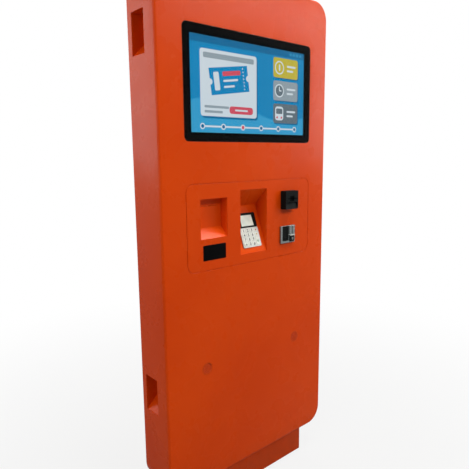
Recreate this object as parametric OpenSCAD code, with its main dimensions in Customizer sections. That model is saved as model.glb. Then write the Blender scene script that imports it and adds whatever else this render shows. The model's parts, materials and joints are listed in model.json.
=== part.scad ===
// Slim floor-standing ticket vending machine: folded sheet cabinet on a plinth, a touch screen
// above a removable device panel, and a hinged service door in the rear wall.
// X runs to the right as the user sees it, the front faces -Y, Z runs up from the floor.

/* [Cabinet] */
// Width of the cabinet
body_w = 700; // [670:1:800]
// Height of the cabinet without its plinth
body_h = 1550; // [1520:1:1700]
// Depth of the cabinet from front sheet to rear wall
body_d = 140; // [136:1:200]
// Radius of the four corners in the front view
corner_r = 60; // [30:1:80]
// Bend radius around the edge of the front face
edge_r = 7; // [4:0.5:10]
// Thickness of the cabinet sheet
sheet_t = 2; // [1.5:0.1:3]
// Weld gap between the rear wall and the cabinet sides
weld_gap = 0.2; // [0.1:0.1:0.5]

/* [Plinth] */
// Width of the plinth
plinth_w = 540; // [500:1:560]
// Height of the plinth
plinth_h = 110; // [90:1:150]
// Depth of the plinth
plinth_d = 140; // [130:1:200]
// How far the plinth stands back from the cabinet front
plinth_setback = 30; // [20:1:40]
// Thickness of the plinth sheet
plinth_t = 3; // [2:0.5:4]
// Thickness of the base plate
base_t = 8; // [6:1:12]
// Spacing of the floor anchor holes across the width
anchor_x = 440; // [380:1:450]
// Spacing of the floor anchor holes across the depth
anchor_y = 84; // [70:1:90]
// Diameter of the floor anchor holes
anchor_hole_d = 14; // [10:0.5:16]
// Diameter of the bolts that join cabinet and plinth
bolt_d = 10; // [8:1:12]
// Spacing of those bolts across the width
bolt_x = 480; // [470:1:490]
// Spacing of those bolts across the depth
bolt_y = 70; // [60:1:75]

/* [Screen] */
// Width of the touch glass
glass_w = 529; // [500:1:560]
// Height of the touch glass
glass_h = 320; // [290:1:340]
// Corner radius of the touch glass
glass_r = 15; // [5:1:25]
// Thickness of the touch glass
glass_t = 4; // [3:0.5:6]
// Gap around the touch glass
glass_gap = 0.6; // [0.3:0.1:1.2]
// Width of the lit area of the display
active_w = 476; // [440:1:490]
// Height of the lit area of the display
active_h = 268; // [240:1:280]
// Distance from the top of the cabinet down to the glass
screen_drop = 153; // [120:1:180]
// How far the lit area lies behind the front face
active_depth = 7; // [6:0.5:9]
// Depth of the monitor's rear housing
monitor_d = 38; // [34:1:50]

/* [Device panel] */
// Width of the device panel
panel_w = 528; // [510:1:560]
// Height of the device panel
panel_h = 261; // [255:1:280]
// Corner radius of the device panel
panel_r = 24; // [10:1:40]
// Visible gap around the device panel
panel_gap = 1.4; // [0.8:0.1:2.5]
// Distance from the top of the cabinet down to the device panel
panel_drop = 595; // [580:1:620]
// Distance of the ticket niche and scanner from the middle, to the left
left_x = 163; // [155:1:170]
// Distance of the card reader and coin unit from the middle, to the right
right_x = 155; // [150:1:165]
// How far the frame behind the panel laps over and under its edge
lap = 16; // [13:1:20]

/* [Ticket niche] */
// Width of the ticket niche
ticket_w = 102; // [90:1:110]
// Height of the ticket niche
ticket_h = 119; // [110:1:125]
// Depth of the ticket niche behind the panel
ticket_d = 29; // [25:1:32]
// Height of its centre above the panel centre
ticket_up = 26; // [24:1:28]
// Height of the ticket slot
slot_h = 6; // [5:0.5:8]
// Width of the ticket slot
slot_w = 84; // [70:1:86]

/* [Terminal niche] */
// Width of the terminal niche
pin_w = 116; // [100:1:124]
// Height of the terminal niche
pin_h = 205; // [200:1:212]
// Depth of the terminal niche behind the panel
pin_d = 52; // [45:1:56]
// Height of the leaning plate
pin_rise = 146; // [140:1:150]
// Drop of the niche roof towards the back
pin_drop = 55; // [48:1:56]
// Height of its centre above the panel centre
pin_up = 2; // [0:1:4]

/* [Terminal] */
// Width of the payment terminal
term_w = 78; // [76:1:84]
// Length of the payment terminal along the plate
term_l = 115; // [110:1:118]
// Distance from the niche lip to the terminal along the plate
term_up = 17; // [14:1:20]
// Height of the terminal face above the plate
term_rise = 4; // [3.5:0.5:6]
// Depth of the terminal body behind the plate
term_back = 14; // [10:1:18]
// Length of the keypad part of the terminal
keypad_l = 65; // [63:1:70]
// Width of a key
key_w = 14; // [10:0.5:15]
// Height of a key
key_h = 10.5; // [8:0.5:12]
// Key spacing across the keypad
key_px = 17.6; // [16.5:0.1:18]
// Key spacing along the keypad
key_py = 15; // [13.5:0.1:15.5]
// Travel of a key
key_travel = 1.2; // [0.6:0.1:1.5]
// Gap around a key
key_gap = 0.3; // [0.2:0.05:0.5]
// How far a key stands above the keypad
key_rise = 1.3; // [1:0.1:2]

/* [Scanner] */
// Width of the scanner window
scan_w = 88; // [80:1:96]
// Height of the scanner window
scan_h = 47; // [40:1:50]
// Distance of its centre below the panel centre
scan_down = 77; // [75:1:80]

/* [Card reader] */
// Width and height of the card reader bezel
reader_w = 62; // [60:1:66]
// How far the bezel stands out
reader_out = 24; // [18:1:30]
// Height of its centre above the panel centre
reader_up = 61.5; // [58:0.5:66]
// Width of the card slot
card_w = 55; // [54.5:0.5:56]
// Height of the card slot
card_h = 2.5; // [1.5:0.5:4]

/* [Coin unit] */
// Width of the coin face plate
coin_w = 70; // [68:1:76]
// Height of the coin face plate
coin_h = 60; // [58:1:66]
// Thickness of the coin face plate
coin_t = 6; // [5:0.5:8]
// Distance of its centre below the panel centre
coin_down = 58; // [56:1:60]
// Travel of the return button
button_travel = 4; // [2:0.5:5]
// Width of the coin slot
coin_slot_w = 3.2; // [2.5:0.1:4]

/* [Ticket printer] */
// Radius of the full paper roll
roll_r = 38; // [30:1:39]
// Width of the paper roll
roll_w = 78; // [58:1:78]
// Radius of the roll spindle
spindle_r = 9; // [6:0.5:10]
// Radius of the platen roller
platen_r = 8; // [6:0.5:8]
// Running clearance of shafts
run_gap = 0.05; // [0.02:0.01:0.1]

/* [Side pockets] */
// Width of a hand pocket from front to rear
pocket_w = 64; // [50:1:68]
// Height of a hand pocket
pocket_h = 115; // [90:1:120]
// Depth of a hand pocket
pocket_d = 35; // [25:1:40]
// Distance from the cabinet front to the middle of a pocket
pocket_y = 86; // [80:1:90]
// Distance from the top of the cabinet to the upper pockets
pocket_drop = 125; // [110:1:150]
// Height of the lower pockets above the cabinet bottom
pocket_lift = 255; // [230:1:280]

/* [Rear door] */
// Width of the rear door
door_w = 540; // [520:1:560]
// Height of the rear door
door_h = 1260; // [1200:1:1300]
// Depth of the door tray
door_d = 14; // [12:1:16]
// Gap between the closed door and the rear wall
door_gap = 0.5; // [0.3:0.1:1]
// How far the door laps over its opening
door_lap = 14; // [12:1:18]
// Radius of the hinge knuckles
knuckle_r = 5; // [4.5:0.5:5.5]
// Radius of the hinge pins
hinge_pin_r = 3; // [2:0.5:3]
// Radius of the lock barrels
lock_r = 9.5; // [9:0.5:10]

/* [Speakers] */
// Distance of each speaker from the middle
speaker_x = 200; // [180:1:220]
// Height of the speakers above the cabinet bottom
speaker_lift = 382; // [375:1:400]
// Pitch of the speaker perforations
perf_pitch = 5; // [4:0.1:5.5]
// Diameter of one perforation
perf_d = 2.2; // [1.5:0.1:3]

/* [Hidden] */
$fn = 48;
eps = 1;
// Play around a piece that drops into its cut-out, and of a round fitting in its hole
fit_gap = 0.3;
hole_gap = 0.1;

paint = "OrangeRed";
black = "#181a1b";
steel = "Silver";
white = "#e4e6e2";

// Places that several pieces share, in the frame of the front face
front_y = -plinth_d / 2 - plinth_setback;
body_z0 = plinth_h;
body_z1 = plinth_h + body_h;
body_zc = (body_z0 + body_z1) / 2;
screen_z = body_z1 - screen_drop - glass_h / 2;
panel_z = body_z1 - panel_drop - panel_h / 2;
back = -body_d;
panel_back = -sheet_t;

// Frame of the front face: x across, y up, z towards the user, 0 on the front face
module on_front() {
    translate([0, front_y, 0]) rotate([90, 0, 0]) children();
}

// Frame of a cabinet side, -1 left or 1 right: z out of the side, 0 on its outer face
module on_side(side, z) {
    translate([side * body_w / 2, front_y + pocket_y, z]) rotate([90, 0, side * 90]) children();
}

module rounded(w, h, r) {
    square([w - 2 * r, h], center = true);
    square([w, h - 2 * r], center = true);
    for (sx = [-1, 1], sy = [-1, 1])
        translate([sx * (w / 2 - r), sy * (h / 2 - r)]) circle(r);
}

// Rounded plate from depth z0 to z1, centred at x, y
module plate(w, h, r, z0, z1, x = 0, y = 0) {
    translate([x, y, z0]) linear_extrude(z1 - z0) rounded(w, h, r);
}

// Plain block from depth z0 to z1, centred at x, y
module block(w, h, z0, z1, x = 0, y = 0) {
    translate([x - w / 2, y - h / 2, z0]) cube([w, h, z1 - z0]);
}

// Round bar from depth z0 to z1
module bar(r, z0, z1, x = 0, y = 0) {
    translate([x, y, z0]) cylinder(r = r, h = z1 - z0);
}

// Round bar along X, centred at x, with its axis at height y and depth z
module cross_bar(r, length, x, y, z) {
    translate([x - length / 2, y, z]) rotate([0, 90, 0]) cylinder(r = r, h = length);
}

// Side outline of a recess whose floor rises and whose roof falls towards the back wall
module recess_side(h, d, rise, drop, t) {
    floor_t = t * sqrt(1 + pow(rise / d, 2));
    roof_t = t * sqrt(1 + pow(drop / d, 2));
    polygon([
        [0, -floor_t],
        [d + t, (d + t) * rise / d - floor_t],
        [d + t, h - (d + t) * drop / d + roof_t],
        [0, h + roof_t]
    ]);
}

// Folded sheet recess, its mouth on z = 0 with the lower edge at y = 0
module recess(w, h, d, rise, drop) {
    difference() {
        translate([-w / 2 - sheet_t, 0, 0]) rotate([0, 90, 0])
            linear_extrude(w + 2 * sheet_t) recess_side(h, d, rise, drop, sheet_t);
        translate([-w / 2, 0, 0]) rotate([0, 90, 0])
            linear_extrude(w) recess_side(h, d, rise, drop, 0);
        translate([-w / 2, 0, 0]) cube([w, h, eps]);
    }
}

/* Cabinet */

// Section through the folded edge of the cabinet: front strip, bend and side wall
module edge_section() {
    translate([0, -sheet_t]) square([corner_r - edge_r, sheet_t]);
    translate([corner_r - sheet_t, -body_d]) square([sheet_t, body_d - edge_r]);
    translate([corner_r - edge_r, -edge_r]) intersection() {
        difference() {
            circle(edge_r);
            circle(edge_r - sheet_t);
        }
        square(edge_r);
    }
}

module edge_run(length) {
    translate([0, length / 2, 0]) rotate([90, 0, 0]) linear_extrude(length) edge_section();
}

module cabinet_skin() {
    flat_w = body_w - 2 * corner_r;
    flat_h = body_h - 2 * corner_r;
    block(flat_w, flat_h, -sheet_t, 0);
    for (side = [0, 1]) {
        rotate([0, 0, 180 * side]) translate([flat_w / 2, 0, 0]) edge_run(flat_h);
        rotate([0, 0, 90 + 180 * side]) translate([flat_h / 2, 0, 0]) edge_run(flat_w);
    }
    for (quarter = [0:3]) {
        sx = quarter == 0 || quarter == 3 ? 1 : -1;
        sy = quarter < 2 ? 1 : -1;
        translate([sx * flat_w / 2, sy * flat_h / 2, 0])
            rotate([0, 0, 90 * quarter]) rotate_extrude(angle = 90) edge_section();
    }
}

module perforations() {
    bar(perf_d / 2, -sheet_t - eps, eps);
    for (ring = [1:3], hole = [0:6 * ring - 1]) {
        rotate([0, 0, hole * 60 / ring])
            bar(perf_d / 2, -sheet_t - eps, eps, ring * perf_pitch);
    }
}

speaker_z = body_z0 + speaker_lift;
speaker_rim_r = 33;

// Bolts between cabinet and plinth stand under the cabinet floor
bolt_yc = front_y + plinth_setback + bolt_y / 2 + 20;
bolt_places = [for (sx = [-1, 1], sy = [-1, 1]) [sx * bolt_x / 2, bolt_yc + sy * bolt_y / 2]];
bolt_hole_r = bolt_d / 2 + 0.5;
access_w = bolt_x - 60;
access_d = bolt_y - 20;

module access_window(z) {
    translate([-access_w / 2, bolt_yc - access_d / 2, z - 10]) cube([access_w, access_d, 20]);
}

module cabinet_shell() {
    color(paint) difference() {
        on_front() translate([0, body_zc, 0]) cabinet_skin();
        on_front() {
            plate(glass_w + 2 * glass_gap, glass_h + 2 * glass_gap, glass_r + glass_gap,
                -sheet_t - eps, eps, 0, screen_z);
            plate(panel_w + 2 * panel_gap, panel_h + 2 * panel_gap, panel_r + panel_gap,
                -sheet_t - eps, eps, 0, panel_z);
            for (side = [-1, 1])
                translate([side * speaker_x, speaker_z, 0]) perforations();
        }
        for (side = [-1, 1], z = [pocket_low_z, pocket_high_z]) on_side(side, z)
            translate([-pocket_w / 2, 0, -sheet_t - eps]) cube([pocket_w, pocket_h, sheet_t + 2 * eps]);
        for (p = bolt_places)
            translate([p[0], p[1], body_z0 - eps]) cylinder(r = bolt_hole_r, h = sheet_t + 2 * eps);
        access_window(body_z0);
    }
}

/* Side pockets */
pocket_low_z = body_z0 + pocket_lift;
pocket_high_z = body_z1 - pocket_drop - pocket_h;

module pocket(side, z) {
    color(paint) on_side(side, z) translate([0, 0, -sheet_t])
        recess(pocket_w, pocket_h, pocket_d, pocket_d, 0);
}

/* Rear wall and its door */
door_z = body_zc;
gland_inset = 120;
gland_x = gland_inset - body_w / 2;
gland_z = (body_z0 + door_z - door_h / 2) / 2;
gland_r = 10;
gland_bore_r = 6;
gland_nut_h = 6;
gland_out = gland_nut_h + 14;
gland_in = gland_nut_h + 4;

module rear_wall() {
    w = body_w - 2 * (sheet_t + weld_gap);
    h = body_h - 2 * (sheet_t + weld_gap);
    color(paint) on_front() difference() {
        plate(w, h, corner_r - sheet_t - weld_gap, back, back + sheet_t, 0, body_zc);
        block(door_w - 2 * door_lap, door_h - 2 * door_lap, back - eps, back + sheet_t + eps, 0, door_z);
        bar(gland_r + hole_gap, back - eps, back + sheet_t + eps, gland_x, gland_z);
    }
}

module cable_gland() {
    color(black) on_front() translate([gland_x, gland_z, 0]) difference() {
        union() {
            translate([0, 0, back - gland_nut_h]) cylinder(r = gland_r * 1.5, h = gland_nut_h, $fn = 6);
            bar(gland_r, back - gland_out, back + sheet_t + gland_in);
            translate([0, 0, back + sheet_t]) cylinder(r = gland_r * 1.4, h = gland_nut_h, $fn = 6);
        }
        bar(gland_bore_r, back - gland_out - eps, back + sheet_t + gland_in + eps);
    }
}

door_in = back - door_gap;
door_out = door_in - door_d;
door_skin = door_out + sheet_t;
hinge_side_gap = 1.5;
hinge_x = door_w / 2 + knuckle_r + hinge_side_gap;
leaf_t = 2;
knuckle_gap = 0.4;
hinge_depth = back - leaf_t - knuckle_r - knuckle_gap - 0.1;
hinge_end = 110;
hinge_places = [for (k = [-1, 0, 1]) door_z + k * (door_h / 2 - hinge_end)];
knuckle_l = 30;
lock_inset = 7;
lock_x = -(door_w / 2 - door_lap - lock_r - lock_inset);
lock_places = [door_z + door_h / 4, door_z - door_h / 4];
fan_drop = 320;
fan_z = door_z + door_h / 2 - fan_drop;
fan_w = 80;
fan_d = 25;
fan_rim = 2.5;
fan_shaft_r = 3;
vent_w = 64;
vent_h = 5;
vent_count = 7;
vent_pitch = 10;
vent_end_r = vent_h / 2 - 0.1;
low_vent_up = 160;

module vents(y) {
    for (k = [0:vent_count - 1]) {
        plate(vent_w, vent_h, vent_end_r, door_out - eps, door_skin + eps,
            0, y + (k - (vent_count - 1) / 2) * vent_pitch);
    }
}

module rear_door() {
    color(paint) on_front() difference() {
        block(door_w, door_h, door_out, door_in, 0, door_z);
        block(door_w - 2 * sheet_t, door_h - 2 * sheet_t, door_skin, door_in + eps, 0, door_z);
        vents(fan_z);
        vents(door_z - door_h / 2 + low_vent_up);
        for (y = lock_places) bar(lock_r + hole_gap, door_out - eps, door_skin + eps, lock_x, y);
    }
}

// Fixed half of each lift-off hinge: leaf on the rear wall, lower knuckle and standing pin
module hinge_posts() {
    leaf_w = 24;
    color(steel) on_front() for (y = hinge_places) translate([hinge_x, y, 0]) {
        translate([0, -knuckle_l, back - leaf_t]) cube([leaf_w, 2 * knuckle_l, leaf_t]);
        translate([0, -knuckle_l, hinge_depth]) cube([knuckle_r, knuckle_l, back - hinge_depth]);
        translate([0, 0, hinge_depth]) rotate([90, 0, 0]) cylinder(r = knuckle_r, h = knuckle_l);
        translate([0, knuckle_l - 4, hinge_depth]) rotate([90, 0, 0])
            cylinder(r = hinge_pin_r, h = knuckle_l + 4);
    }
}

// Moving half: upper knuckle that drops over the pin, and its leaf on the door's edge
module hinge_leaves() {
    neck = hinge_x - door_w / 2;
    color(steel) on_front() for (y = hinge_places) translate([hinge_x, y + knuckle_gap, 0]) difference() {
        union() {
            translate([0, knuckle_l, hinge_depth]) rotate([90, 0, 0])
                cylinder(r = knuckle_r, h = knuckle_l);
            translate([-neck, 0, hinge_depth - 3]) cube([neck, knuckle_l, 3]);
            translate([-neck, 0, door_out + 1]) cube([1.4, knuckle_l, door_d - 2]);
        }
        translate([0, knuckle_l - 3, hinge_depth]) rotate([90, 0, 0])
            cylinder(r = hinge_pin_r + run_gap, h = knuckle_l);
    }
}

cam_gap = 0.6;
cam_t = 3;
cam_w = 14;
cam_l = 34;
plug_r = 6;
cam_in = back + sheet_t + cam_gap;
lock_flange = 2;
plug_out = door_out - lock_flange - 0.4;

module lock_housings() {
    color(steel) on_front() for (y = lock_places) translate([lock_x, y, 0]) difference() {
        union() {
            bar(lock_r + 2.5, door_out - lock_flange, door_out);
            bar(lock_r, door_out - lock_flange, cam_in - 0.4);
            bar(lock_r + 3, door_skin, door_skin + 4);
        }
        bar(plug_r + run_gap, door_out - lock_flange - eps, cam_in);
    }
}

// Lock plug with its key slot and cam, drawn unlocked with the cam upright
module lock_cam(y) {
    color(steel) on_front() translate([lock_x, y, 0]) difference() {
        union() {
            bar(plug_r, plug_out, cam_in + cam_t);
            translate([-cam_w / 2, -cam_w / 2, cam_in]) cube([cam_w, cam_l + cam_w / 2, cam_t]);
        }
        block(1.6, 8, plug_out - eps, plug_out + 8);
    }
}

module fan_frame() {
    hub_r = 16;
    z0 = door_skin;
    color(black) on_front() translate([0, fan_z, 0]) {
        difference() {
            plate(fan_w, fan_w, 5, z0, z0 + fan_d);
            bar(fan_w / 2 - fan_rim, z0 - eps, z0 + fan_d + eps);
        }
        bar(hub_r, z0, z0 + 3);
        bar(fan_shaft_r, z0, z0 + fan_d - 4);
        for (k = [0:3]) rotate([0, 0, 45 + 90 * k])
            translate([hub_r - 2, -2.5, z0]) cube([fan_w / 2 - fan_rim - hub_r + 3, 5, 3]);
    }
}

module fan_rotor() {
    blades = 7;
    hub_r = 15;
    tip_r = fan_w / 2 - fan_rim - 2.5;
    z0 = door_skin + 4.5;
    height = fan_d - 8.5;
    color(black) on_front() translate([0, fan_z, 0]) difference() {
        union() {
            bar(hub_r, z0, z0 + height);
            for (k = [0:blades - 1]) rotate([0, 0, k * 360 / blades])
                translate([hub_r - 2, 0, z0 + height / 2]) rotate([40, 0, 0])
                    translate([0, -0.8, -height / 2]) cube([tip_r - hub_r, 1.6, height]);
        }
        bar(fan_shaft_r + run_gap, z0 - eps, z0 + height + eps);
    }
}

/* Plinth */
module plinth() {
    inner_w = plinth_w - 2 * plinth_t;
    inner_d = plinth_d - 2 * plinth_t;
    color(paint) difference() {
        translate([-plinth_w / 2, -plinth_d / 2, 0]) cube([plinth_w, plinth_d, plinth_h]);
        translate([-inner_w / 2, -inner_d / 2, -eps]) cube([inner_w, inner_d, plinth_h - plinth_t + eps]);
        access_window(plinth_h);
        for (p = bolt_places)
            translate([p[0], p[1], plinth_h - 10]) cylinder(r = bolt_hole_r, h = 20);
    }
}

module base_plate() {
    w = plinth_w - 2 * plinth_t;
    d = plinth_d - 2 * plinth_t;
    color("DimGray") difference() {
        translate([-w / 2, -d / 2, 0]) cube([w, d, base_t]);
        for (sx = [-1, 1], sy = [-1, 1])
            translate([sx * anchor_x / 2, sy * anchor_y / 2, -eps])
                cylinder(d = anchor_hole_d, h = base_t + 2 * eps);
    }
}

module plinth_bolts() {
    head_h = 0.64 * bolt_d;
    nut_h = 0.84 * bolt_d;
    across = 0.95 * bolt_d;
    top = body_z0 + sheet_t;
    low = plinth_h - plinth_t;
    color(steel) for (p = bolt_places) translate([p[0], p[1], 0]) {
        translate([0, 0, top]) cylinder(r = across, h = head_h, $fn = 6);
        translate([0, 0, low - nut_h - 4]) cylinder(d = bolt_d, h = top - low + nut_h + 4 + eps);
        translate([0, 0, low - nut_h]) cylinder(r = across, h = nut_h, $fn = 6);
    }
}

/* Screen */
frame_lap = 18;
lcd_edge = 7;
lcd_d = 12;
housing_t = 1.5;

module touch_glass() {
    color("#203038") on_front() plate(glass_w, glass_h, glass_r, -glass_t, 0, 0, screen_z);
}

module monitor_frame() {
    color(black) on_front() difference() {
        plate(glass_w + 2 * frame_lap, glass_h + 2 * frame_lap, glass_r, -active_depth, -sheet_t,
            0, screen_z);
        plate(glass_w + 2 * glass_gap, glass_h + 2 * glass_gap, glass_r + glass_gap,
            -glass_t, eps, 0, screen_z);
        block(active_w, active_h, -active_depth - eps, 0, 0, screen_z);
    }
}

module lcd_panel() {
    color("#1482b9") on_front()
        block(active_w + 2 * lcd_edge, active_h + 2 * lcd_edge, -active_depth - lcd_d, -active_depth,
            0, screen_z);
}

module monitor_housing() {
    w = active_w + 2 * (lcd_edge + fit_gap + housing_t);
    h = active_h + 2 * (lcd_edge + fit_gap + housing_t);
    ear = 14;
    ear_end = 30;
    color("DimGray") on_front() translate([0, screen_z, 0]) difference() {
        union() {
            block(w, h, -active_depth - monitor_d, -active_depth);
            block(w + 2 * ear, h - 2 * ear_end, -active_depth - housing_t, -active_depth);
        }
        block(w - 2 * housing_t, h - 2 * housing_t, -active_depth - monitor_d + housing_t,
            -active_depth + eps);
    }
}

/* Device panel */
ticket_z0 = panel_z + ticket_up - ticket_h / 2;
pin_z0 = panel_z + pin_up - pin_h / 2;
scan_z = panel_z - scan_down;
scan_r = 3;
window_t = 4;
window_gap = 0.2;
reader_z = panel_z + reader_up;
coin_z = panel_z - coin_down;
neck_w = card_w + 3;
neck_h = 24;
card_up = 4;
frame_t = 3;
stud_r = 2.5;
stud_edge = 8;
stud_places = concat(
    [for (sx = [-1, 0, 1], sy = [-1, 1]) [sx * (panel_w / 2 - 40), sy * (panel_h / 2 - stud_edge)]],
    [for (sx = [-1, 1]) [sx * (panel_w / 2 - stud_edge), 0]]
);

module device_panel() {
    color(paint) on_front() difference() {
        plate(panel_w, panel_h, panel_r, panel_back, 0, 0, panel_z);
        translate([-left_x - ticket_w / 2, ticket_z0, panel_back - eps])
            cube([ticket_w, ticket_h, sheet_t + 2 * eps]);
        translate([-pin_w / 2, pin_z0, panel_back - eps]) cube([pin_w, pin_h, sheet_t + 2 * eps]);
        plate(scan_w + 2 * window_gap, scan_h + 2 * window_gap, scan_r + window_gap, panel_back - eps, eps,
            -left_x, scan_z);
        block(neck_w + 2 * fit_gap, neck_h + 2 * fit_gap, panel_back - eps, eps, right_x, reader_z);
        block(coin_hole_w, coin_hole_h, panel_back - eps, eps, right_x, coin_z);
    }
}

module panel_frame() {
    color(paint) on_front() translate([0, panel_z, 0]) difference() {
        plate(panel_w + 2 * lap, panel_h + 2 * lap, panel_r, panel_back - frame_t, panel_back);
        plate(panel_w - 2 * lap, panel_h - 2 * lap, 5, panel_back - frame_t - eps, panel_back + eps);
        for (p = stud_places)
            bar(stud_r + hole_gap, panel_back - frame_t - eps, panel_back + eps, p[0], p[1]);
    }
}

module panel_fasteners() {
    nut_h = 4;
    color(steel) on_front() for (p = stud_places) translate([p[0], panel_z + p[1], 0]) {
        bar(stud_r, panel_back - frame_t - nut_h - 4, panel_back);
        translate([0, 0, panel_back - frame_t - nut_h]) cylinder(r = 2 * stud_r * 0.92, h = nut_h, $fn = 6);
    }
}

ticket_back = panel_back - ticket_d - sheet_t;
slot_drop = 24;
slot_z = ticket_z0 + ticket_h - slot_drop;

module ticket_niche() {
    color(paint) on_front() difference() {
        translate([-left_x, ticket_z0, panel_back]) recess(ticket_w, ticket_h, ticket_d, ticket_d, 0);
        block(slot_w, slot_h, ticket_back - eps, ticket_back + sheet_t + eps, -left_x, slot_z);
    }
}

// Frame of the leaning plate: y up the slope from the niche lip, z out of its face
pin_lean = atan(pin_d / pin_rise);

module on_plate() {
    on_front() translate([0, pin_z0, panel_back]) rotate([-pin_lean, 0, 0]) children();
}

term_flange = 3.5;
term_mid = term_up + term_l / 2;

module terminal_niche() {
    cut_w = term_w - 2 * term_flange + 2 * fit_gap;
    cut_l = term_l - 2 * term_flange + 2 * fit_gap;
    color(paint) difference() {
        on_front() translate([0, pin_z0, panel_back]) recess(pin_w, pin_h, pin_d, pin_rise, pin_drop);
        on_plate() block(cut_w, cut_l, -sheet_t - 4, 4, 0, term_mid);
    }
}

/* Payment terminal */
term_lip = 1;
keypad_mid = term_up + keypad_l / 2;
display_l = term_l - keypad_l;
display_mid = term_up + keypad_l + display_l / 2;
display_floor = term_rise - 2.2;
lcd_w = term_w - 20;
lcd_l = display_l - 10;

module terminal_body() {
    color(black) on_plate() difference() {
        union() {
            plate(term_w - 2 * term_flange, term_l - 2 * term_flange, 4, -term_back, term_lip, 0, term_mid);
            plate(term_w, term_l, 4, 0, term_lip, 0, term_mid);
            plate(term_w, display_l, 4, 0, term_rise, 0, display_mid);
        }
        block(lcd_w, lcd_l, display_floor, term_rise + eps, 0, display_mid);
    }
}

module terminal_display() {
    color("#c9cfc9") on_plate()
        block(lcd_w - 0.2, lcd_l - 0.2, display_floor, display_floor + 1.6, 0, display_mid);
}

// Keys as name, column, row and rows covered, from the upper left
KEYS = [
    ["key_1", 0, 0, 1], ["key_2", 1, 0, 1], ["key_3", 2, 0, 1],
    ["key_4", 0, 1, 1], ["key_5", 1, 1, 1], ["key_6", 2, 1, 1],
    ["key_7", 0, 2, 1], ["key_8", 1, 2, 1], ["key_9", 2, 2, 1],
    ["key_star", 0, 3, 1], ["key_0", 1, 3, 1], ["key_hash", 2, 3, 1],
    ["key_cancel", 3, 0, 1], ["key_clear", 3, 1, 1], ["key_enter", 3, 2, 2]
];

function key_x(k) = (k[1] - 1.5) * key_px;
function key_y(k) = keypad_mid - (k[2] + (k[3] - 1) / 2 - 1.5) * key_py;
function key_len(k) = key_h + (k[3] - 1) * key_py;

module terminal_keypad_plate() {
    color(white) on_plate() difference() {
        plate(term_w, keypad_l, 4, term_lip, term_rise, 0, keypad_mid);
        for (k = KEYS)
            plate(key_w + 2 * key_gap, key_len(k) + 2 * key_gap, 1.5 + key_gap,
                term_lip - eps, term_rise + eps, key_x(k), key_y(k));
    }
}

module terminal_key(k) {
    color(white) on_plate()
        plate(key_w, key_len(k), 1.5, term_lip + key_travel + 0.2, term_rise + key_rise,
            key_x(k), key_y(k));
}

/* Scanner */
module scanner_window() {
    color(black) on_front() plate(scan_w, scan_h, scan_r, -window_t, 0, -left_x, scan_z);
}

module scanner_module() {
    rim = 5;
    rim_y = 3;
    seat_t = 2;
    tube_in = 8;
    tube_w = scan_w - 2 * tube_in;
    tube_h = scan_h - tube_in;
    tube_t = 3;
    tube_back = -40;
    tube_end_t = 6;
    color("DimGray") on_front() difference() {
        union() {
            block(scan_w + 2 * rim, scan_h + 2 * rim_y, -window_t - seat_t, panel_back, -left_x, scan_z);
            block(tube_w, tube_h, tube_back, -window_t, -left_x, scan_z);
        }
        plate(scan_w + 2 * window_gap, scan_h + 2 * window_gap, scan_r + window_gap, -window_t, eps,
            -left_x, scan_z);
        block(tube_w - 2 * tube_t, tube_h - 2 * tube_t, tube_back + tube_end_t, 0, -left_x, scan_z);
    }
}

/* Card reader */
module card_reader_bezel() {
    notch_r = 11;
    notch_h = 18;
    cheek = 5;
    scoop_h = 22;
    scoop_lean = 16;
    color(black) on_front() translate([right_x, reader_z, 0]) difference() {
        union() {
            plate(reader_w, reader_w, 3, 0, reader_out);
            block(neck_w, neck_h, panel_back, 0);
        }
        block(card_w, card_h, panel_back - eps, reader_out + eps, 0, card_up);
        translate([0, card_up + notch_h / 2, reader_out]) rotate([90, 0, 0])
            cylinder(r = notch_r, h = notch_h);
        translate([cheek - reader_w / 2, -reader_w / 2, reader_out]) rotate([-scoop_lean, 0, 0])
            cube([reader_w - 2 * cheek, scoop_h, reader_w]);
    }
}

module card_reader_module() {
    length = 84;
    height = 34;
    rim = 4;
    rim_h = 44;
    end_t = 6;
    color("DimGray") on_front() translate([right_x, reader_z, 0]) difference() {
        union() {
            block(reader_w, height, panel_back - length, panel_back);
            block(reader_w + 2 * rim, rim_h, panel_back - rim, panel_back);
        }
        block(card_w, card_h, panel_back - length + end_t, panel_back + eps, 0, card_up);
    }
}

/* Coin unit */
cup_w = 25;
cup_h = 46;
cup_edge = 11;
cup_up = 3;
cup_x = -coin_w / 2 + cup_edge + cup_w / 2;
entry_x = (cup_x + cup_w / 2 + coin_w / 2) / 2 + 0.5;
entry_drop = 16;
entry_y = coin_h / 2 - entry_drop;
entry_w = 26;
entry_rim = 1.25;
entry_rise = 3;
coin_slot_l = 26.5;
button_lift = 14;
button_y = button_lift - coin_h / 2;
button_w = 17;
button_gap = 0.3;
button_rise = 1;
coin_rim_x = 5;
coin_rim_y = 2;
coin_hole_w = coin_w - 2 * coin_rim_x;
coin_hole_h = coin_h - 2 * coin_rim_y;
flap_t = 2;
flap_pin_r = 1.5;
flap_pin_y = cup_up + cup_h / 2 - 3;
flap_z = coin_t - 2.6;

module coin_faceplate() {
    color(steel) on_front() translate([right_x, coin_z, 0]) difference() {
        union() {
            plate(coin_w, coin_h, 3, 0, coin_t);
            plate(entry_w, coin_slot_l + 2 * entry_rim, 2, 0, coin_t + entry_rise, entry_x, entry_y);
        }
        block(cup_w, cup_h, -eps, coin_t + eps, cup_x, cup_up);
        cross_bar(flap_pin_r + run_gap, cup_w + 6, cup_x, flap_pin_y, flap_z);
        block(coin_slot_w, coin_slot_l, -eps, coin_t + entry_rise + eps, entry_x, entry_y);
        plate(button_w + 2 * button_gap, button_w + 2 * button_gap, 2, -eps, coin_t + eps, entry_x, button_y);
    }
}

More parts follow.
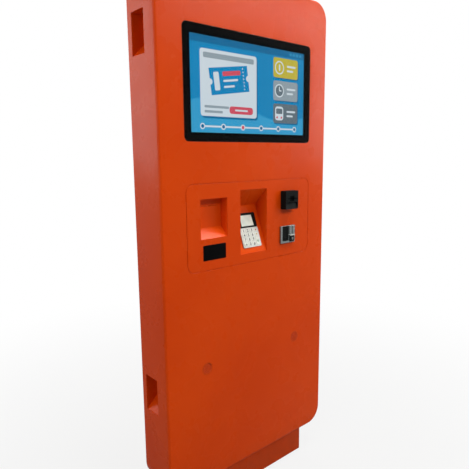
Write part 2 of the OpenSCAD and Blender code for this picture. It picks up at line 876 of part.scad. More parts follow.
// Flap that hangs from its pin in the return opening and is pushed inwards
module coin_return_flap() {
    w = cup_w - 1;
    flap_h = cup_h - 4.5;
    color("#30363a") on_front() translate([right_x + cup_x, coin_z, 0]) {
        cross_bar(flap_pin_r, cup_w + 5, 0, flap_pin_y, flap_z);
        block(w, flap_h, flap_z - flap_t / 2, flap_z + flap_t / 2, 0, flap_pin_y - 1 - flap_h / 2);
    }
}

module coin_return_button() {
    color("#2a2d30") on_front() translate([right_x + entry_x, coin_z + button_y, 0]) {
        plate(button_w, button_w, 1.7, 0.5, coin_t + button_travel + button_rise);
        bar(stem_r, -stem_l, 0.6);
    }
}

// Validator body behind the face plate, with the return cup on its left and a chute below
validator_d = 58;
cup_d = 44;
chute_w = 22;
chute_d = 30;
chute_z = -validator_d + 6;
coin_box_w = 110;
coin_box_d = 92;
coin_box_gap = 2;
coin_box_share = 0.46;
coin_box_top = panel_z - panel_h / 2 - lap - coin_box_gap;
coin_box_h = coin_box_share * (coin_box_top - speaker_z - speaker_rim_r);
chute_low = coin_box_top - coin_z - 5;
stem_r = 4;
stem_l = 5;
box_wall = 1.5;

module coin_validator() {
    chute_top = -coin_hole_h / 2 + 5;
    color("DimGray") on_front() translate([right_x, coin_z, 0]) difference() {
        union() {
            block(coin_hole_w - 2 * fit_gap, coin_hole_h - 2 * fit_gap, -validator_d, 0);
            translate([entry_x - chute_w / 2, chute_low, chute_z])
                cube([chute_w, chute_top - chute_low, chute_d]);
        }
        block(cup_w, cup_h, -cup_d, eps, cup_x, cup_up);
        block(coin_slot_w, coin_slot_l, -validator_d + 18, eps, entry_x, entry_y);
        plate(button_w + 2 * button_gap, button_w + 2 * button_gap, 2,
            -button_travel - 0.5, eps, entry_x, button_y);
        bar(stem_r + 0.4, -stem_l - button_travel - 4, eps, entry_x, button_y);
        translate([entry_x - chute_w / 2 + box_wall, chute_low - eps, chute_z + box_wall])
            cube([chute_w - 2 * box_wall, chute_top - chute_low, chute_d - 2 * box_wall]);
    }
}

module coin_box() {
    mouth = 6;
    inner_w = coin_box_w - 2 * box_wall;
    inner_h = coin_box_h - 2 * box_wall;
    color("Gray") on_front() translate([right_x, coin_box_top - coin_box_h / 2, 0]) difference() {
        block(coin_box_w, coin_box_h, -sheet_t - coin_box_d, -sheet_t);
        block(inner_w, inner_h, -sheet_t - coin_box_d + box_wall, -sheet_t - box_wall);
        block(chute_w + mouth, 20, chute_z - mouth / 2, chute_z + chute_d + mouth / 2,
            entry_x, coin_box_h / 2);
    }
}

/* Ticket printer */
printer_w = 92;
printer_h = 76;
printer_d = 48;
platen_set = 16;
printer_zc = slot_z - platen_set;
platen_depth = ticket_back - platen_set;
platen_l = slot_w - 6;
roll_drop = 34;
roll_set = 54;
roll_z = printer_zc - printer_h / 2 - roll_r - roll_drop;
roll_depth = ticket_back - roll_set;
arm_t = 3;
shaft_r = 3;

module ticket_printer() {
    arm_d = 26;
    arm_front = 14;
    arm_below = 16;
    boss_t = 5;
    arm_h = printer_zc - roll_z + arm_below;
    color("#3a3f44") on_front() translate([-left_x, 0, 0]) {
        difference() {
            block(printer_w, printer_h, ticket_back - printer_d, ticket_back, 0, printer_zc);
            block(slot_w, slot_h, platen_depth, ticket_back + eps, 0, slot_z);
            cross_bar(platen_r + 1, platen_l + 2, 0, slot_z, platen_depth);
            cross_bar(shaft_r + run_gap, printer_w + 2, 0, slot_z, platen_depth);
            translate([-slot_w / 2, printer_zc - printer_h / 2 - eps, platen_depth - platen_r - 1])
                cube([slot_w, slot_z - printer_zc + printer_h / 2 + eps, 4]);
        }
        for (side = [-1, 1]) {
            translate([side * (printer_w + arm_t) / 2, 0, 0])
                block(arm_t, arm_h, roll_depth - arm_d / 2, roll_depth + arm_d / 2 + arm_front,
                    0, roll_z - arm_below + arm_h / 2);
            cross_bar(spindle_r + boss_t, (printer_w - roll_w) / 2 - 0.5,
                side * (printer_w / 2 + roll_w / 2 + 0.5) / 2, roll_z, roll_depth);
        }
        cross_bar(spindle_r, printer_w + 1, 0, roll_z, roll_depth);
    }
}

module platen_roller() {
    color("#202020") on_front() {
        cross_bar(platen_r, platen_l, -left_x, slot_z, platen_depth);
        cross_bar(shaft_r, printer_w - 1, -left_x, slot_z, platen_depth);
    }
}

module paper_roll() {
    color("White") on_front() difference() {
        cross_bar(roll_r, roll_w, -left_x, roll_z, roll_depth);
        cross_bar(spindle_r + run_gap, roll_w + 2, -left_x, roll_z, roll_depth);
    }
}

/* Electronics */
bracket_t = 2;
bracket_w = 15;
bracket_h = 24;
pc_w = 220;
pc_h = 160;
pc_d = 34;
pc_drop = 150;
fin_d = 12;
fin_t = 3;
fin_pitch = 13;
fin_edge = 10;
pc_x = (speaker_rim_r - speaker_x + right_x - coin_box_w / 2) / 2;
pc_z = panel_z - panel_h / 2 - pc_drop;
supply_w = 200;
supply_h = 100;
supply_d = 46;
supply_up = 200;
strip_d = 6;
strip_h = 14;
strip_edge = 4;
supply_z = body_z0 + supply_up;

// Flat bracket that carries a box of width w on the inside of the front sheet
module bracket(w) {
    block(w + 2 * bracket_w, bracket_h, -sheet_t - bracket_t, -sheet_t);
}

module control_pc() {
    fins = 11;
    color("#44484c") on_front() translate([pc_x, pc_z, 0]) {
        block(pc_w, pc_h, -sheet_t - pc_d, -sheet_t);
        for (k = [0:fins - 1])
            block(pc_w - 2 * fin_edge, fin_t, -sheet_t - pc_d - fin_d, -sheet_t - pc_d + 0.1,
                0, (k - (fins - 1) / 2) * fin_pitch);
        bracket(pc_w);
    }
}

module power_supply() {
    color(steel) on_front() translate([0, supply_z, 0]) {
        block(supply_w, supply_h, -sheet_t - supply_d, -sheet_t);
        block(supply_w - 2 * strip_edge, strip_h, -sheet_t - supply_d - strip_d, -sheet_t - supply_d + 0.1,
            0, supply_h / 2 - strip_h / 2 - strip_edge);
        bracket(supply_w);
    }
}

module speakers() {
    rim_t = 3;
    basket_d = 18;
    magnet_r = 18;
    magnet_d = 12;
    wall = 4;
    cone_r = 12;
    color(black) on_front() for (side = [-1, 1])
        translate([side * speaker_x, speaker_z, -sheet_t]) difference() {
            union() {
                bar(speaker_rim_r, -rim_t, 0);
                translate([0, 0, -basket_d])
                    cylinder(r1 = magnet_r - 1, r2 = speaker_rim_r - wall, h = basket_d - rim_t + 0.1);
                bar(magnet_r, -basket_d - magnet_d, -basket_d);
            }
            translate([0, 0, wall - basket_d])
                cylinder(r1 = cone_r, r2 = speaker_rim_r - wall - rim_t, h = basket_d - wall + 0.01);
        }
}

cabinet_shell();
rear_wall();
plinth();
base_plate();
plinth_bolts();
pocket(-1, pocket_high_z);  // left_upper_pocket
pocket(-1, pocket_low_z);  // left_lower_pocket
pocket(1, pocket_high_z);  // right_upper_pocket
pocket(1, pocket_low_z);  // right_lower_pocket
touch_glass();
monitor_frame();
lcd_panel();
monitor_housing();
device_panel();
panel_frame();
panel_fasteners();
ticket_niche();
terminal_niche();
scanner_window();
scanner_module();
terminal_body();
terminal_keypad_plate();
terminal_display();
for (k = KEYS) terminal_key(k);
card_reader_bezel();
card_reader_module();
coin_faceplate();
coin_return_flap();
coin_return_button();
coin_validator();
coin_box();
ticket_printer();
platen_roller();
paper_roll();
control_pc();
power_supply();
speakers();
cable_gland();
rear_door();
hinge_posts();
hinge_leaves();
lock_housings();
lock_cam(lock_places[0]);  // upper_lock_cam
lock_cam(lock_places[1]);  // lower_lock_cam
fan_frame();
fan_rotor();
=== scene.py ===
import json
import math

import bmesh
import bpy
from mathutils import Matrix, Vector


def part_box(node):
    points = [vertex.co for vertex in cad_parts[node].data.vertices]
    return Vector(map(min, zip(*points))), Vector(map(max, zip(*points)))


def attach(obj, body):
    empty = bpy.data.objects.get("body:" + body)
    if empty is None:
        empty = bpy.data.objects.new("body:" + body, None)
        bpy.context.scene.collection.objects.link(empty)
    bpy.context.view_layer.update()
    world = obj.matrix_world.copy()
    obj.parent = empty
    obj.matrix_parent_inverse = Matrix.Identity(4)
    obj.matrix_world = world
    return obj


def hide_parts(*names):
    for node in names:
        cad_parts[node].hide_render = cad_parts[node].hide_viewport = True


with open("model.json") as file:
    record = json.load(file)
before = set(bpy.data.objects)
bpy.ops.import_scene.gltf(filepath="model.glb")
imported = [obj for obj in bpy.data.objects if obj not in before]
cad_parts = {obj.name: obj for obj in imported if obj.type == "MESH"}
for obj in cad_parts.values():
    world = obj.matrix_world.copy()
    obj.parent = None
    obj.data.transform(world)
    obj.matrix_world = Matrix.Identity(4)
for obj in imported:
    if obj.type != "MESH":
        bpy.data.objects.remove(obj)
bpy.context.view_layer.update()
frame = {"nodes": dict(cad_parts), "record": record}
record = frame["record"]
bodyOf = {node: body for body, nodes in record["behaviour"]["bodies"].items() for node in nodes}
jointOf = {joint["name"]: joint for joint in record["behaviour"]["joints"]}
mm = 0.001
print("frame loaded,", len(frame["nodes"]), "nodes")


# Nodes and materials

def hexColour(code):
    channels = [int(code[i:i + 2], 16) / 255 for i in (1, 3, 5)]
    return (*[c / 12.92 if c <= 0.04045 else ((c + 0.055) / 1.055) ** 2.4 for c in channels], 1.0)


# Sets or links a node's inputs; where an input is given a node, that node's first output is linked
def feed(node, inputs):
    for key, value in inputs.items():
        for part in value if isinstance(value, list) else [value]:
            if isinstance(part, bpy.types.Node):
                part = part.outputs[0]
            if isinstance(part, bpy.types.NodeSocket):
                node.id_data.links.new(part, node.inputs[key])
            else:
                node.inputs[key].default_value = part


def addNode(tree, kind, inputs=None, **attributes):
    node = tree.nodes.new(kind)
    for name, value in attributes.items():
        setattr(node, name, value)
    feed(node, inputs or {})
    return node


# A Principled material with its fixed values set on the sockets, and the place that its patterns read
def startMaterial(name, **sockets):
    material = bpy.data.materials.new(name)
    material.use_nodes = True
    tree = material.node_tree
    shader = tree.nodes["Principled BSDF"]
    feed(shader, {key.replace("_", " "): value for key, value in sockets.items()})
    place = addNode(tree, "ShaderNodeTexCoord").outputs["Object"]
    return material, tree, shader, place


# Two colours mixed by a soft noise of the given size, into the base colour
def mixBase(tree, shader, place, first, second, sizeMm, detail=3.0):
    noise = addNode(tree, "ShaderNodeTexNoise",
                    {"Vector": place, "Scale": 1 / (sizeMm * mm), "Detail": detail})
    spread = addNode(tree, "ShaderNodeMapRange", {"Value": noise, "From Min": 0.35, "From Max": 0.65})
    mix = addNode(tree, "ShaderNodeMix", {0: spread, 6: hexColour(first), 7: hexColour(second)},
                  data_type="RGBA")
    feed(shader, {"Base Color": mix.outputs[2]})
    return mix


# Fine surface relief of the given grain, height and strength, into the normal
def addRelief(tree, shader, place, grainMm, heightMm, strength):
    noise = addNode(tree, "ShaderNodeTexNoise",
                    {"Vector": place, "Scale": 1 / (grainMm * mm), "Detail": 2.0})
    bump = addNode(tree, "ShaderNodeBump", {"Height": noise, "Distance": heightMm * mm, "Strength": strength})
    feed(shader, {"Normal": bump})


# Roughness that wanders between two values
def varyRoughness(tree, shader, place, low, high, sizeMm):
    noise = addNode(tree, "ShaderNodeTexNoise", {"Vector": place, "Scale": 1 / (sizeMm * mm), "Detail": 4.0})
    spread = addNode(tree, "ShaderNodeMapRange",
                     {"Value": noise, "From Min": 0.3, "From Max": 0.7, "To Min": low, "To Max": high})
    feed(shader, {"Roughness": spread})


# Polyester powder coat baked on steel: deep even colour, soft gloss, faint orange peel drawn coarse
# the niche tones are a lighter copy of the outer paint: painted light for the inside of the niches
powderCoat = {"outer": ("#c23a02", "#c83f04"), "niche": ("#d34406", "#d94a0a"), "cloudMm": 320, "ior": 1.18,
              "peel": (5.0, 0.05, 0.25), "rough": (0.25, 0.31), "roughMm": 90,
              "grime": "#8a3416", "grimeTopM": 0.16, "grimeMost": 0.75, "scuffMm": 35,
              # the speaker tone is dust and painted shade of the perforations
              "dust": "#a8381f", "dustShare": 0.45, "dustInnerMm": 16.0, "dustOuterMm": 22.0}
speakerAt = (200.0 * mm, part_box("device_panel")[0].y, 492.0 * mm)


def makePowderCoat(name, batch):
    material, tree, shader, place = startMaterial(name, IOR=powderCoat["ior"])
    mix = mixBase(tree, shader, place, *powderCoat[batch], powderCoat["cloudMm"])
    addRelief(tree, shader, place, *powderCoat["peel"])
    varyRoughness(tree, shader, place, *powderCoat["rough"], powderCoat["roughMm"])
    # mopping water and shoes dull the lowest part of the plinth
    split = addNode(tree, "ShaderNodeSeparateXYZ", {0: place})
    height = addNode(tree, "ShaderNodeMapRange", {"Value": split.outputs["Z"], "From Min": 0.0,
                     "From Max": powderCoat["grimeTopM"], "To Min": powderCoat["grimeMost"], "To Max": 0.0})
    scuff = addNode(tree, "ShaderNodeTexNoise",
                    {"Vector": place, "Scale": 1 / (powderCoat["scuffMm"] * mm), "Detail": 6.0})
    amount = addNode(tree, "ShaderNodeMath", {0: height, 1: scuff}, operation="MULTIPLY")
    dulled = addNode(tree, "ShaderNodeMix", {0: amount, 6: mix.outputs[2], 7: hexColour(powderCoat["grime"])},
                     data_type="RGBA")
    # dust in the perforations, and painted shade of the holes, darken a disc over each of the two speakers
    aside = addNode(tree, "ShaderNodeMath", {0: split.outputs["X"]}, operation="ABSOLUTE")
    folded = addNode(tree, "ShaderNodeCombineXYZ",
                     {"X": aside, "Y": split.outputs["Y"], "Z": split.outputs["Z"]})
    away = addNode(tree, "ShaderNodeVectorMath", {0: folded, 1: speakerAt}, operation="DISTANCE")
    dust = addNode(tree, "ShaderNodeMapRange", {"Value": away.outputs["Value"],
                   "From Min": powderCoat["dustInnerMm"] * mm, "From Max": powderCoat["dustOuterMm"] * mm,
                   "To Min": powderCoat["dustShare"], "To Max": 0.0})
    dustedAndShaded = addNode(tree, "ShaderNodeMix", {0: dust, 6: dulled.outputs[2], 7: hexColour(powderCoat["dust"])},
                     data_type="RGBA")
    feed(shader, {"Base Color": dustedAndShaded.outputs[2]})
    return material


# Galvanised sheet: dull silver with a crystal spangle of some 8 mm
def makeGalvanised():
    material, tree, shader, place = startMaterial("galvanisedSteel", Metallic=1.0)
    spangle = addNode(tree, "ShaderNodeTexVoronoi",
                      {"Vector": place, "Scale": 1 / (8 * mm), "Randomness": 1.0})
    tone = addNode(tree, "ShaderNodeSeparateColor", {0: spangle.outputs["Color"]})
    mix = addNode(tree, "ShaderNodeMix", {0: tone, 6: hexColour("#a3a7aa"), 7: hexColour("#b3b7b9")},
                  data_type="RGBA")
    rough = addNode(tree, "ShaderNodeMapRange", {"Value": tone.outputs[1], "To Min": 0.4, "To Max": 0.5})
    feed(shader, {"Base Color": mix.outputs[2], "Roughness": rough})
    return material


# Scales of a drawn-out pattern from the length of its cells along x, y and z
def cellScale(*cellsMm):
    return tuple(1 / (cell * mm) for cell in cellsMm)


# Brushed stainless steel: fine lines across the plate, drawn 1.1 mm apart so that they show
def makeBrushed():
    material, tree, shader, place = startMaterial("brushedStainlessSteel", Metallic=1.0, Anisotropic=0.5)
    lines = addNode(tree, "ShaderNodeMapping", {"Vector": place, "Scale": cellScale(25, 2.5, 10 / 9)})
    grain = addNode(tree, "ShaderNodeTexNoise", {"Vector": lines, "Scale": 1.0, "Detail": 5.0})
    mix = addNode(tree, "ShaderNodeMix", {0: grain, 6: hexColour("#3f4548"), 7: hexColour("#a2a8a6")},
                  data_type="RGBA")
    rough = addNode(tree, "ShaderNodeMapRange", {"Value": grain, "To Min": 0.2, "To Max": 0.45})
    bump = addNode(tree, "ShaderNodeBump", {"Height": grain, "Distance": 0.03 * mm, "Strength": 0.4})
    feed(shader, {"Base Color": mix.outputs[2], "Roughness": rough, "Normal": bump})
    return material


# Lit liquid crystal picture: its own light, a touch uneven like an edge-lit panel
def makeLit(name, colour, edgeColour):
    material, tree, shader, place = startMaterial(name, Base_Color=(0, 0, 0, 1), Roughness=0.6,
                                                  Specular_IOR_Level=0.0, Emission_Strength=1.0)
    cloud = addNode(tree, "ShaderNodeTexNoise", {"Vector": place, "Scale": 1 / (150 * mm), "Detail": 1.0})
    mix = addNode(tree, "ShaderNodeMix", {0: cloud, 6: hexColour(colour), 7: hexColour(edgeColour)},
                  data_type="RGBA")
    feed(shader, {"Emission Color": mix.outputs[2]})
    return material


# Wound thermal paper: white, with the edges of its layers drawn some 6 mm apart so that they show
def makePaper():
    material, tree, shader, place = startMaterial("thermalPaper", IOR=1.45, Specular_IOR_Level=0.3,
                                                  Roughness=0.7)
    centre = jointOf["paper_roll_spin"]["pos_m"]
    axis = addNode(tree, "ShaderNodeMapping", {"Vector": place, "Location": tuple(-c for c in centre),
                   "Scale": (0.0, 1.0, 1.0)}, vector_type="POINT")
    rings = addNode(tree, "ShaderNodeTexWave", {"Vector": axis, "Scale": 1 / (20 * mm),
                    "Distortion": 0.6, "Detail": 1.0}, wave_type="RINGS", rings_direction="X")
    mix = addNode(tree, "ShaderNodeMix",
                  {0: rings.outputs[1], 6: hexColour("#e2e0d8"), 7: hexColour("#f2f1ec")}, data_type="RGBA")
    feed(shader, {"Base Color": mix.outputs[2]})
    return material


# Drawn metal with faint die lines: aluminium, anodised black or bare, and nickel plated brass
def makeDrawnMetal(name, first, second, roughLow, roughHigh):
    material, tree, shader, place = startMaterial(name, Metallic=1.0)
    lines = addNode(tree, "ShaderNodeMapping", {"Vector": place, "Scale": cellScale(50, 10 / 3, 10 / 7)})
    grain = addNode(tree, "ShaderNodeTexNoise", {"Vector": lines, "Scale": 1.0, "Detail": 3.0})
    mix = addNode(tree, "ShaderNodeMix", {0: grain, 6: hexColour(first), 7: hexColour(second)},
                  data_type="RGBA")
    feed(shader, {"Base Color": mix.outputs[2]})
    varyRoughness(tree, shader, place, roughLow, roughHigh, sizeMm=18)
    return material


# Two near tones and a wandering gloss, and a fine relief where the surface has a grain
def makeFinish(name, first, second, toneMm, rough, roughMm, grain=None, detail=3.0, **sockets):
    material, tree, shader, place = startMaterial(name, **sockets)
    mixBase(tree, shader, place, first, second, toneMm, detail)
    if grain:
        addRelief(tree, shader, place, *grain)
    varyRoughness(tree, shader, place, *rough, roughMm)
    return material


paint = makePowderCoat("powderCoatedSteel", "outer")
# the niche inserts take the lighter copy of the paint, as painted light
litNichePaint = makePowderCoat("powderCoatedInsert", "niche")
galvanised = makeGalvanised()
brushed = makeBrushed()
paper = makePaper()
blackAluminium = makeDrawnMetal("anodisedAluminium", "#1c1e20", "#2a2d30", 0.35, 0.5)
bareAluminium = makeDrawnMetal("extrudedAluminium", "#a9abad", "#c4c5c6", 0.3, 0.45)
nickel = makeDrawnMetal("nickelPlatedBrass", "#b3b1aa", "#c9c7bf", 0.14, 0.26)
# Zinc plated fasteners and hinges: bright, slightly blue, with worn spots
zinc = makeFinish("zincPlatedSteel", "#a7adb2", "#c6c8c6", toneMm=9, rough=(0.22, 0.42), roughMm=6,
                  Metallic=1.0)
# Toughened cover glass with an anti-reflective coat, so it mirrors little of the room
coverGlass = makeFinish("coatedToughenedGlass", "#f4f8f7", "#eff5f6", toneMm=200, rough=(0.0, 0.02),
                        roughMm=120, IOR=1.15, Transmission_Weight=1.0)
# Smoked acrylic: nearly black, polished, with a little haze from wiping
smoked = makeFinish("smokedAcrylic", "#040405", "#060607", toneMm=30, rough=(0.06, 0.14), roughMm=25, IOR=1.1)
# Small reflective display: pale grey-green film under a clear window
lcdFilm = makeFinish("reflectiveLcdFilm", "#e6e8d9", "#c8d3c7", toneMm=34, rough=(0.12, 0.2), roughMm=15,
                     detail=1.0, IOR=1.45, Specular_IOR_Level=0.5)
# Moulded plastics: an even tone and a spark-eroded grain that breaks up the gloss
moulded = {"toneMm": 14, "roughMm": 20, "Specular_IOR_Level": 0.4}
fineGrain, keyGrain, sprayGrain = (0.9, 0.06, 0.35), (1.4, 0.06, 0.35), (3.0, 0.06, 0.35)
blackAbs = makeFinish("mouldedBlackAbs", "#0d0e0e", "#131514", rough=(0.42, 0.56), grain=fineGrain, IOR=1.13,
                      **moulded)
# speaker trim rings: a darker orange, painted shade of the perforations
shadedRingPaint = makeFinish("sprayedAbsRing", "#b83b0d", "#be3f10", rough=(0.3, 0.4), grain=sprayGrain, IOR=1.13,
                       **moulded)
keyPlastic = makeFinish("mouldedKeyPlastic", "#d2d2c9", "#cacbc2", rough=(0.4, 0.5), grain=keyGrain, IOR=1.45,
                        **moulded)
padPlastic = makeFinish("mouldedKeypadFrame", "#cacbc2", "#c0c2ba", rough=(0.42, 0.55), grain=keyGrain,
                        IOR=1.45, **moulded)
greyAbs = makeFinish("mouldedDarkGreyAbs", "#181a1b", "#202223", rough=(0.42, 0.56), grain=fineGrain,
                     IOR=1.25, **{**moulded, "Specular_IOR_Level": 0.3})
# Rubber: matt, dusty, with a moulded or a ground skin
rubber = {"toneMm": 11, "rough": (0.62, 0.8), "roughMm": 8, "IOR": 1.52, "Specular_IOR_Level": 0.25}
gasketRubber = makeFinish("mouldedEpdmRubber", "#0c0d0d", "#141515", grain=(1.2, 0.08, 0.4), **rubber)
rollerRubber = makeFinish("groundNitrileRubber", "#1a1b1c", "#232425", grain=(0.8, 0.08, 0.4), **rubber)
# Screen printed ink on plastic: flat colour, worn a little paler in spots
ink = {"toneMm": 3, "rough": (0.45, 0.6), "roughMm": 4, "IOR": 1.48, "Specular_IOR_Level": 0.3}
darkInk = makeFinish("darkPrintedInk", "#23272b", "#3a3f44", **ink)
redInk = makeFinish("redPrintedInk", "#93282d", "#a0393d", **ink)
amberInk = makeFinish("amberPrintedInk", "#9a7a1e", "#a5872f", **ink)
greenInk = makeFinish("greenPrintedInk", "#2a6f3f", "#397a4d", **ink)
print("materials made:", len(bpy.data.materials))


# Meshes

def newPiece(name, mesh, material):
    piece = bpy.data.objects.new(name, mesh)
    bpy.context.scene.collection.objects.link(piece)
    mesh.materials.clear()
    mesh.materials.append(material)
    return piece


def settle(piece, body):
    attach(piece, body)


# The evaluated shape as a plain mesh, with the modifiers gone
def bakeModifiers(piece):
    bpy.context.view_layer.update()
    evaluated = piece.evaluated_get(bpy.context.evaluated_depsgraph_get())
    mesh = bpy.data.meshes.new_from_object(evaluated)
    piece.modifiers.clear()
    piece.data = mesh


# snake_case node name to a piece name
def pieceName(node, ending):
    first, *rest = node.split("_")
    return first + "".join(word.capitalize() for word in rest) + ending


# How CAD faces are joined before their edges are rounded, and which edges count as sharp
rounding = {"weldMm": 0.003, "sliverMm": 0.001, "flatDeg": 0.5, "sharpDeg": 38}


# A copy of a CAD node with its flat faces joined and its sharp edges rounded, which stands for the node
def softenNode(node, material, edgeMm, segments=2):
    source = frame["nodes"][node].data
    shape = bmesh.new()
    corners = [shape.verts.new(v.co) for v in source.vertices]
    for polygon in source.polygons:
        shape.faces.new([corners[i] for i in polygon.vertices])
    bmesh.ops.remove_doubles(shape, verts=shape.verts, dist=rounding["weldMm"] * mm)
    bmesh.ops.dissolve_degenerate(shape, edges=shape.edges, dist=rounding["sliverMm"] * mm)
    bmesh.ops.dissolve_limit(shape, angle_limit=math.radians(rounding["flatDeg"]), verts=shape.verts,
                             edges=shape.edges)
    for face in shape.faces:
        face.smooth = True
    mesh = bpy.data.meshes.new(node)
    shape.to_mesh(mesh)
    shape.free()
    piece = newPiece(pieceName(node, "Casing"), mesh, material)
    bevel = piece.modifiers.new("edges", "BEVEL")
    bevel.width = edgeMm * mm
    bevel.segments = segments
    bevel.limit_method = "ANGLE"
    bevel.angle_limit = math.radians(rounding["sharpDeg"])
    bevel.harden_normals = True
    bevel.use_clamp_overlap = node not in arcRims
    bakeModifiers(piece)
    settle(piece, bodyOf[node])
    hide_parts(node)


def finishNode(node, material):
    data = frame["nodes"][node].data
    data.materials.clear()
    data.materials.append(material)


# Points of a rounded rectangle, counter-clockwise in a flat frame
def roundTile(x, y, width, height, radius, turnDeg=0.0, steps=5):
    points = []
    turn = Matrix.Rotation(math.radians(turnDeg), 2)
    for quarter, (sx, sy) in enumerate(((1, 1), (-1, 1), (-1, -1), (1, -1))):
        for k in range(steps + 1):
            angle = math.radians(90 * quarter + 90 * k / steps)
            local = Vector((sx * (width / 2 - radius) + radius * math.cos(angle),
                            sy * (height / 2 - radius) + radius * math.sin(angle)))
            points.append(turn @ local + Vector((x, y)))
    return points


def discOutline(x, y, radius, steps=28):
    return [Vector((x + radius * math.cos(2 * math.pi * k / steps),
                    y + radius * math.sin(2 * math.pi * k / steps))) for k in range(steps)]


# Adds a closed flat prism from an outline in millimetres, placed by a matrix whose z is its thickness
def addPrism(shape, outline, low, high, place):
    count = len(outline)
    lower = [shape.verts.new(place @ Vector((p.x * mm, p.y * mm, low * mm))) for p in outline]
    upper = [shape.verts.new(place @ Vector((p.x * mm, p.y * mm, high * mm))) for p in outline]
    shape.faces.new(list(reversed(lower)))
    shape.faces.new(upper)
    for k in range(count):
        after = (k + 1) % count
        shape.faces.new((lower[k], lower[after], upper[after], upper[k]))


# Edges of a small fitting that bend more than this stay crisp
crispDeg = 40


def meshFrom(shape, name, smoothDeg=0.0):
    bmesh.ops.recalc_face_normals(shape, faces=shape.faces)
    mesh = bpy.data.meshes.new(name)
    shape.to_mesh(mesh)
    shape.free()
    if smoothDeg:
        mesh.polygons.foreach_set("use_smooth", [True] * len(mesh.polygons))
        mesh.set_sharp_from_angle(angle=math.radians(smoothDeg))
    return mesh


# A finished shape as a piece of its own, on the cabinet unless it says otherwise
def placeShape(name, shape, material, body="cabinet", smoothDeg=crispDeg):
    settle(newPiece(name, meshFrom(shape, name, smoothDeg), material), body)


# A frame on the front face at x, z: across is X, up is Z and outwards is towards the user
def frontFrame(x, y, z):
    return Matrix(((1, 0, 0, x), (0, 0, -1, y), (0, 1, 0, z), (0, 0, 0, 1)))


# A frame on a face that looks to the rear: up is Z and outwards is away from the user
def rearFrame(x, y, z):
    return Matrix(((-1, 0, 0, x), (0, 0, 1, y), (0, 1, 0, z), (0, 0, 0, 1)))


def middle(node):
    low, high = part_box(node)
    return (low + high) / 2


# Adds a closed ring whose section goes through the given outlines, each with its own level
def addLoops(shape, section, place):
    loops = [[shape.verts.new(place @ Vector((p.x * mm, p.y * mm, level * mm))) for p in outline]
             for outline, level in section]
    for here, there in zip(loops, loops[1:] + loops[:1]):
        for k in range(len(here)):
            after = (k + 1) % len(here)
            shape.faces.new((here[k], here[after], there[after], there[k]))


def addRing(shape, outer, inner, low, high, place):
    addLoops(shape, ((outer, low), (outer, high), (inner, high), (inner, low)), place)


# Casings

# Each finish with its casings, and how far their sharp edges are rounded, in millimetres
casings = (
    (paint, {"cabinet_shell": 0.6, "rear_wall": 0.5, "plinth": 1.2, "rear_door": 0.7, "device_panel": 0.7,
             "left_upper_pocket": 0.5, "left_lower_pocket": 0.5, "right_upper_pocket": 0.5,
             "right_lower_pocket": 0.5}),
    (litNichePaint, {"ticket_niche": 0.5, "terminal_niche": 0.5}),
    (coverGlass, {"touch_glass": 0.6}), (smoked, {"scanner_window": 0.5}), (brushed, {"coin_faceplate": 0.5}),
    (lcdFilm, {"terminal_display": 0.2}), (padPlastic, {"terminal_keypad_plate": 0.35}),
    (blackAbs, {"terminal_body": 0.4, "card_reader_bezel": 1.6, "coin_return_flap": 0.3, "cable_gland": 0.5,
                "fan_rotor": 0.25}),
    (greyAbs, {"coin_return_button": 0.8, "ticket_printer": 0.5}),
    (galvanised, {"monitor_housing": 0.4, "coin_box": 0.4, "base_plate": 0.6}),
    (blackAluminium, {"control_pc": 0.6}), (bareAluminium, {"power_supply": 0.5}),
    (zinc, {"hinge_posts": 0.4, "hinge_leaves": 0.35, "plinth_bolts": 0.3}),
    (nickel, {"lock_housings": 0.4, "upper_lock_cam": 0.3, "lower_lock_cam": 0.3}),
)
# Casings whose rims have fine arcs: their rounding fits, and the bevel's clamp would hold it back
arcRims = ("cabinet_shell", "device_panel", "rear_door", "coin_faceplate", "terminal_keypad_plate",
           "terminal_body", "ticket_printer")
plainNodes = {
    "monitor_frame": blackAbs, "lcd_panel": blackAbs, "panel_frame": paint, "panel_fasteners": zinc,
    "fan_frame": blackAbs, "scanner_module": blackAbs, "card_reader_module": blackAbs,
    "coin_validator": blackAbs, "platen_roller": rollerRubber, "paper_roll": paper, "speakers": blackAbs,
}
keyCap = {"edgeMm": 0.7, "segments": 3}
keyNodes = [name for name in frame["nodes"] if name.startswith("key_")]
for material, edges in casings:
    for node, edgeMm in edges.items():
        softenNode(node, material, edgeMm)
for node, material in plainNodes.items():
    finishNode(node, material)
for node in keyNodes:
    softenNode(node, keyPlastic, **keyCap)
print("casings softened")


# Repeating fittings, each grown by a node tree with named sizes in metres

# A tree that takes the piece's own points and the named sizes, and ends in plain painted geometry
def startTree(name, sizes):
    tree = bpy.data.node_groups.new(name, "GeometryNodeTree")
    tree.interface.new_socket("Geometry", in_out="INPUT", socket_type="NodeSocketGeometry")
    for label, value in sizes.items():
        kind = "NodeSocketInt" if isinstance(value, int) else "NodeSocketFloat"
        tree.interface.new_socket(label, in_out="INPUT", socket_type=kind).default_value = value
    tree.interface.new_socket("Finish", in_out="INPUT", socket_type="NodeSocketMaterial")
    tree.interface.new_socket("Geometry", in_out="OUTPUT", socket_type="NodeSocketGeometry")
    return tree, addNode(tree, "NodeGroupInput").outputs


def endTree(tree, given, geometry):
    real = addNode(tree, "GeometryNodeRealizeInstances", {0: geometry})
    painted = addNode(tree, "GeometryNodeSetMaterial", {"Geometry": real, "Material": given["Finish"]})
    addNode(tree, "NodeGroupOutput", {0: painted})
    return tree


# A round section drawn along a curve
def sweep(tree, curve, radius, sides, caps=True):
    section = addNode(tree, "GeometryNodeCurvePrimitiveCircle", {"Resolution": sides, "Radius": radius})
    return addNode(tree, "GeometryNodeCurveToMesh",
                   {"Curve": curve, "Profile Curve": section, "Fill Caps": caps})


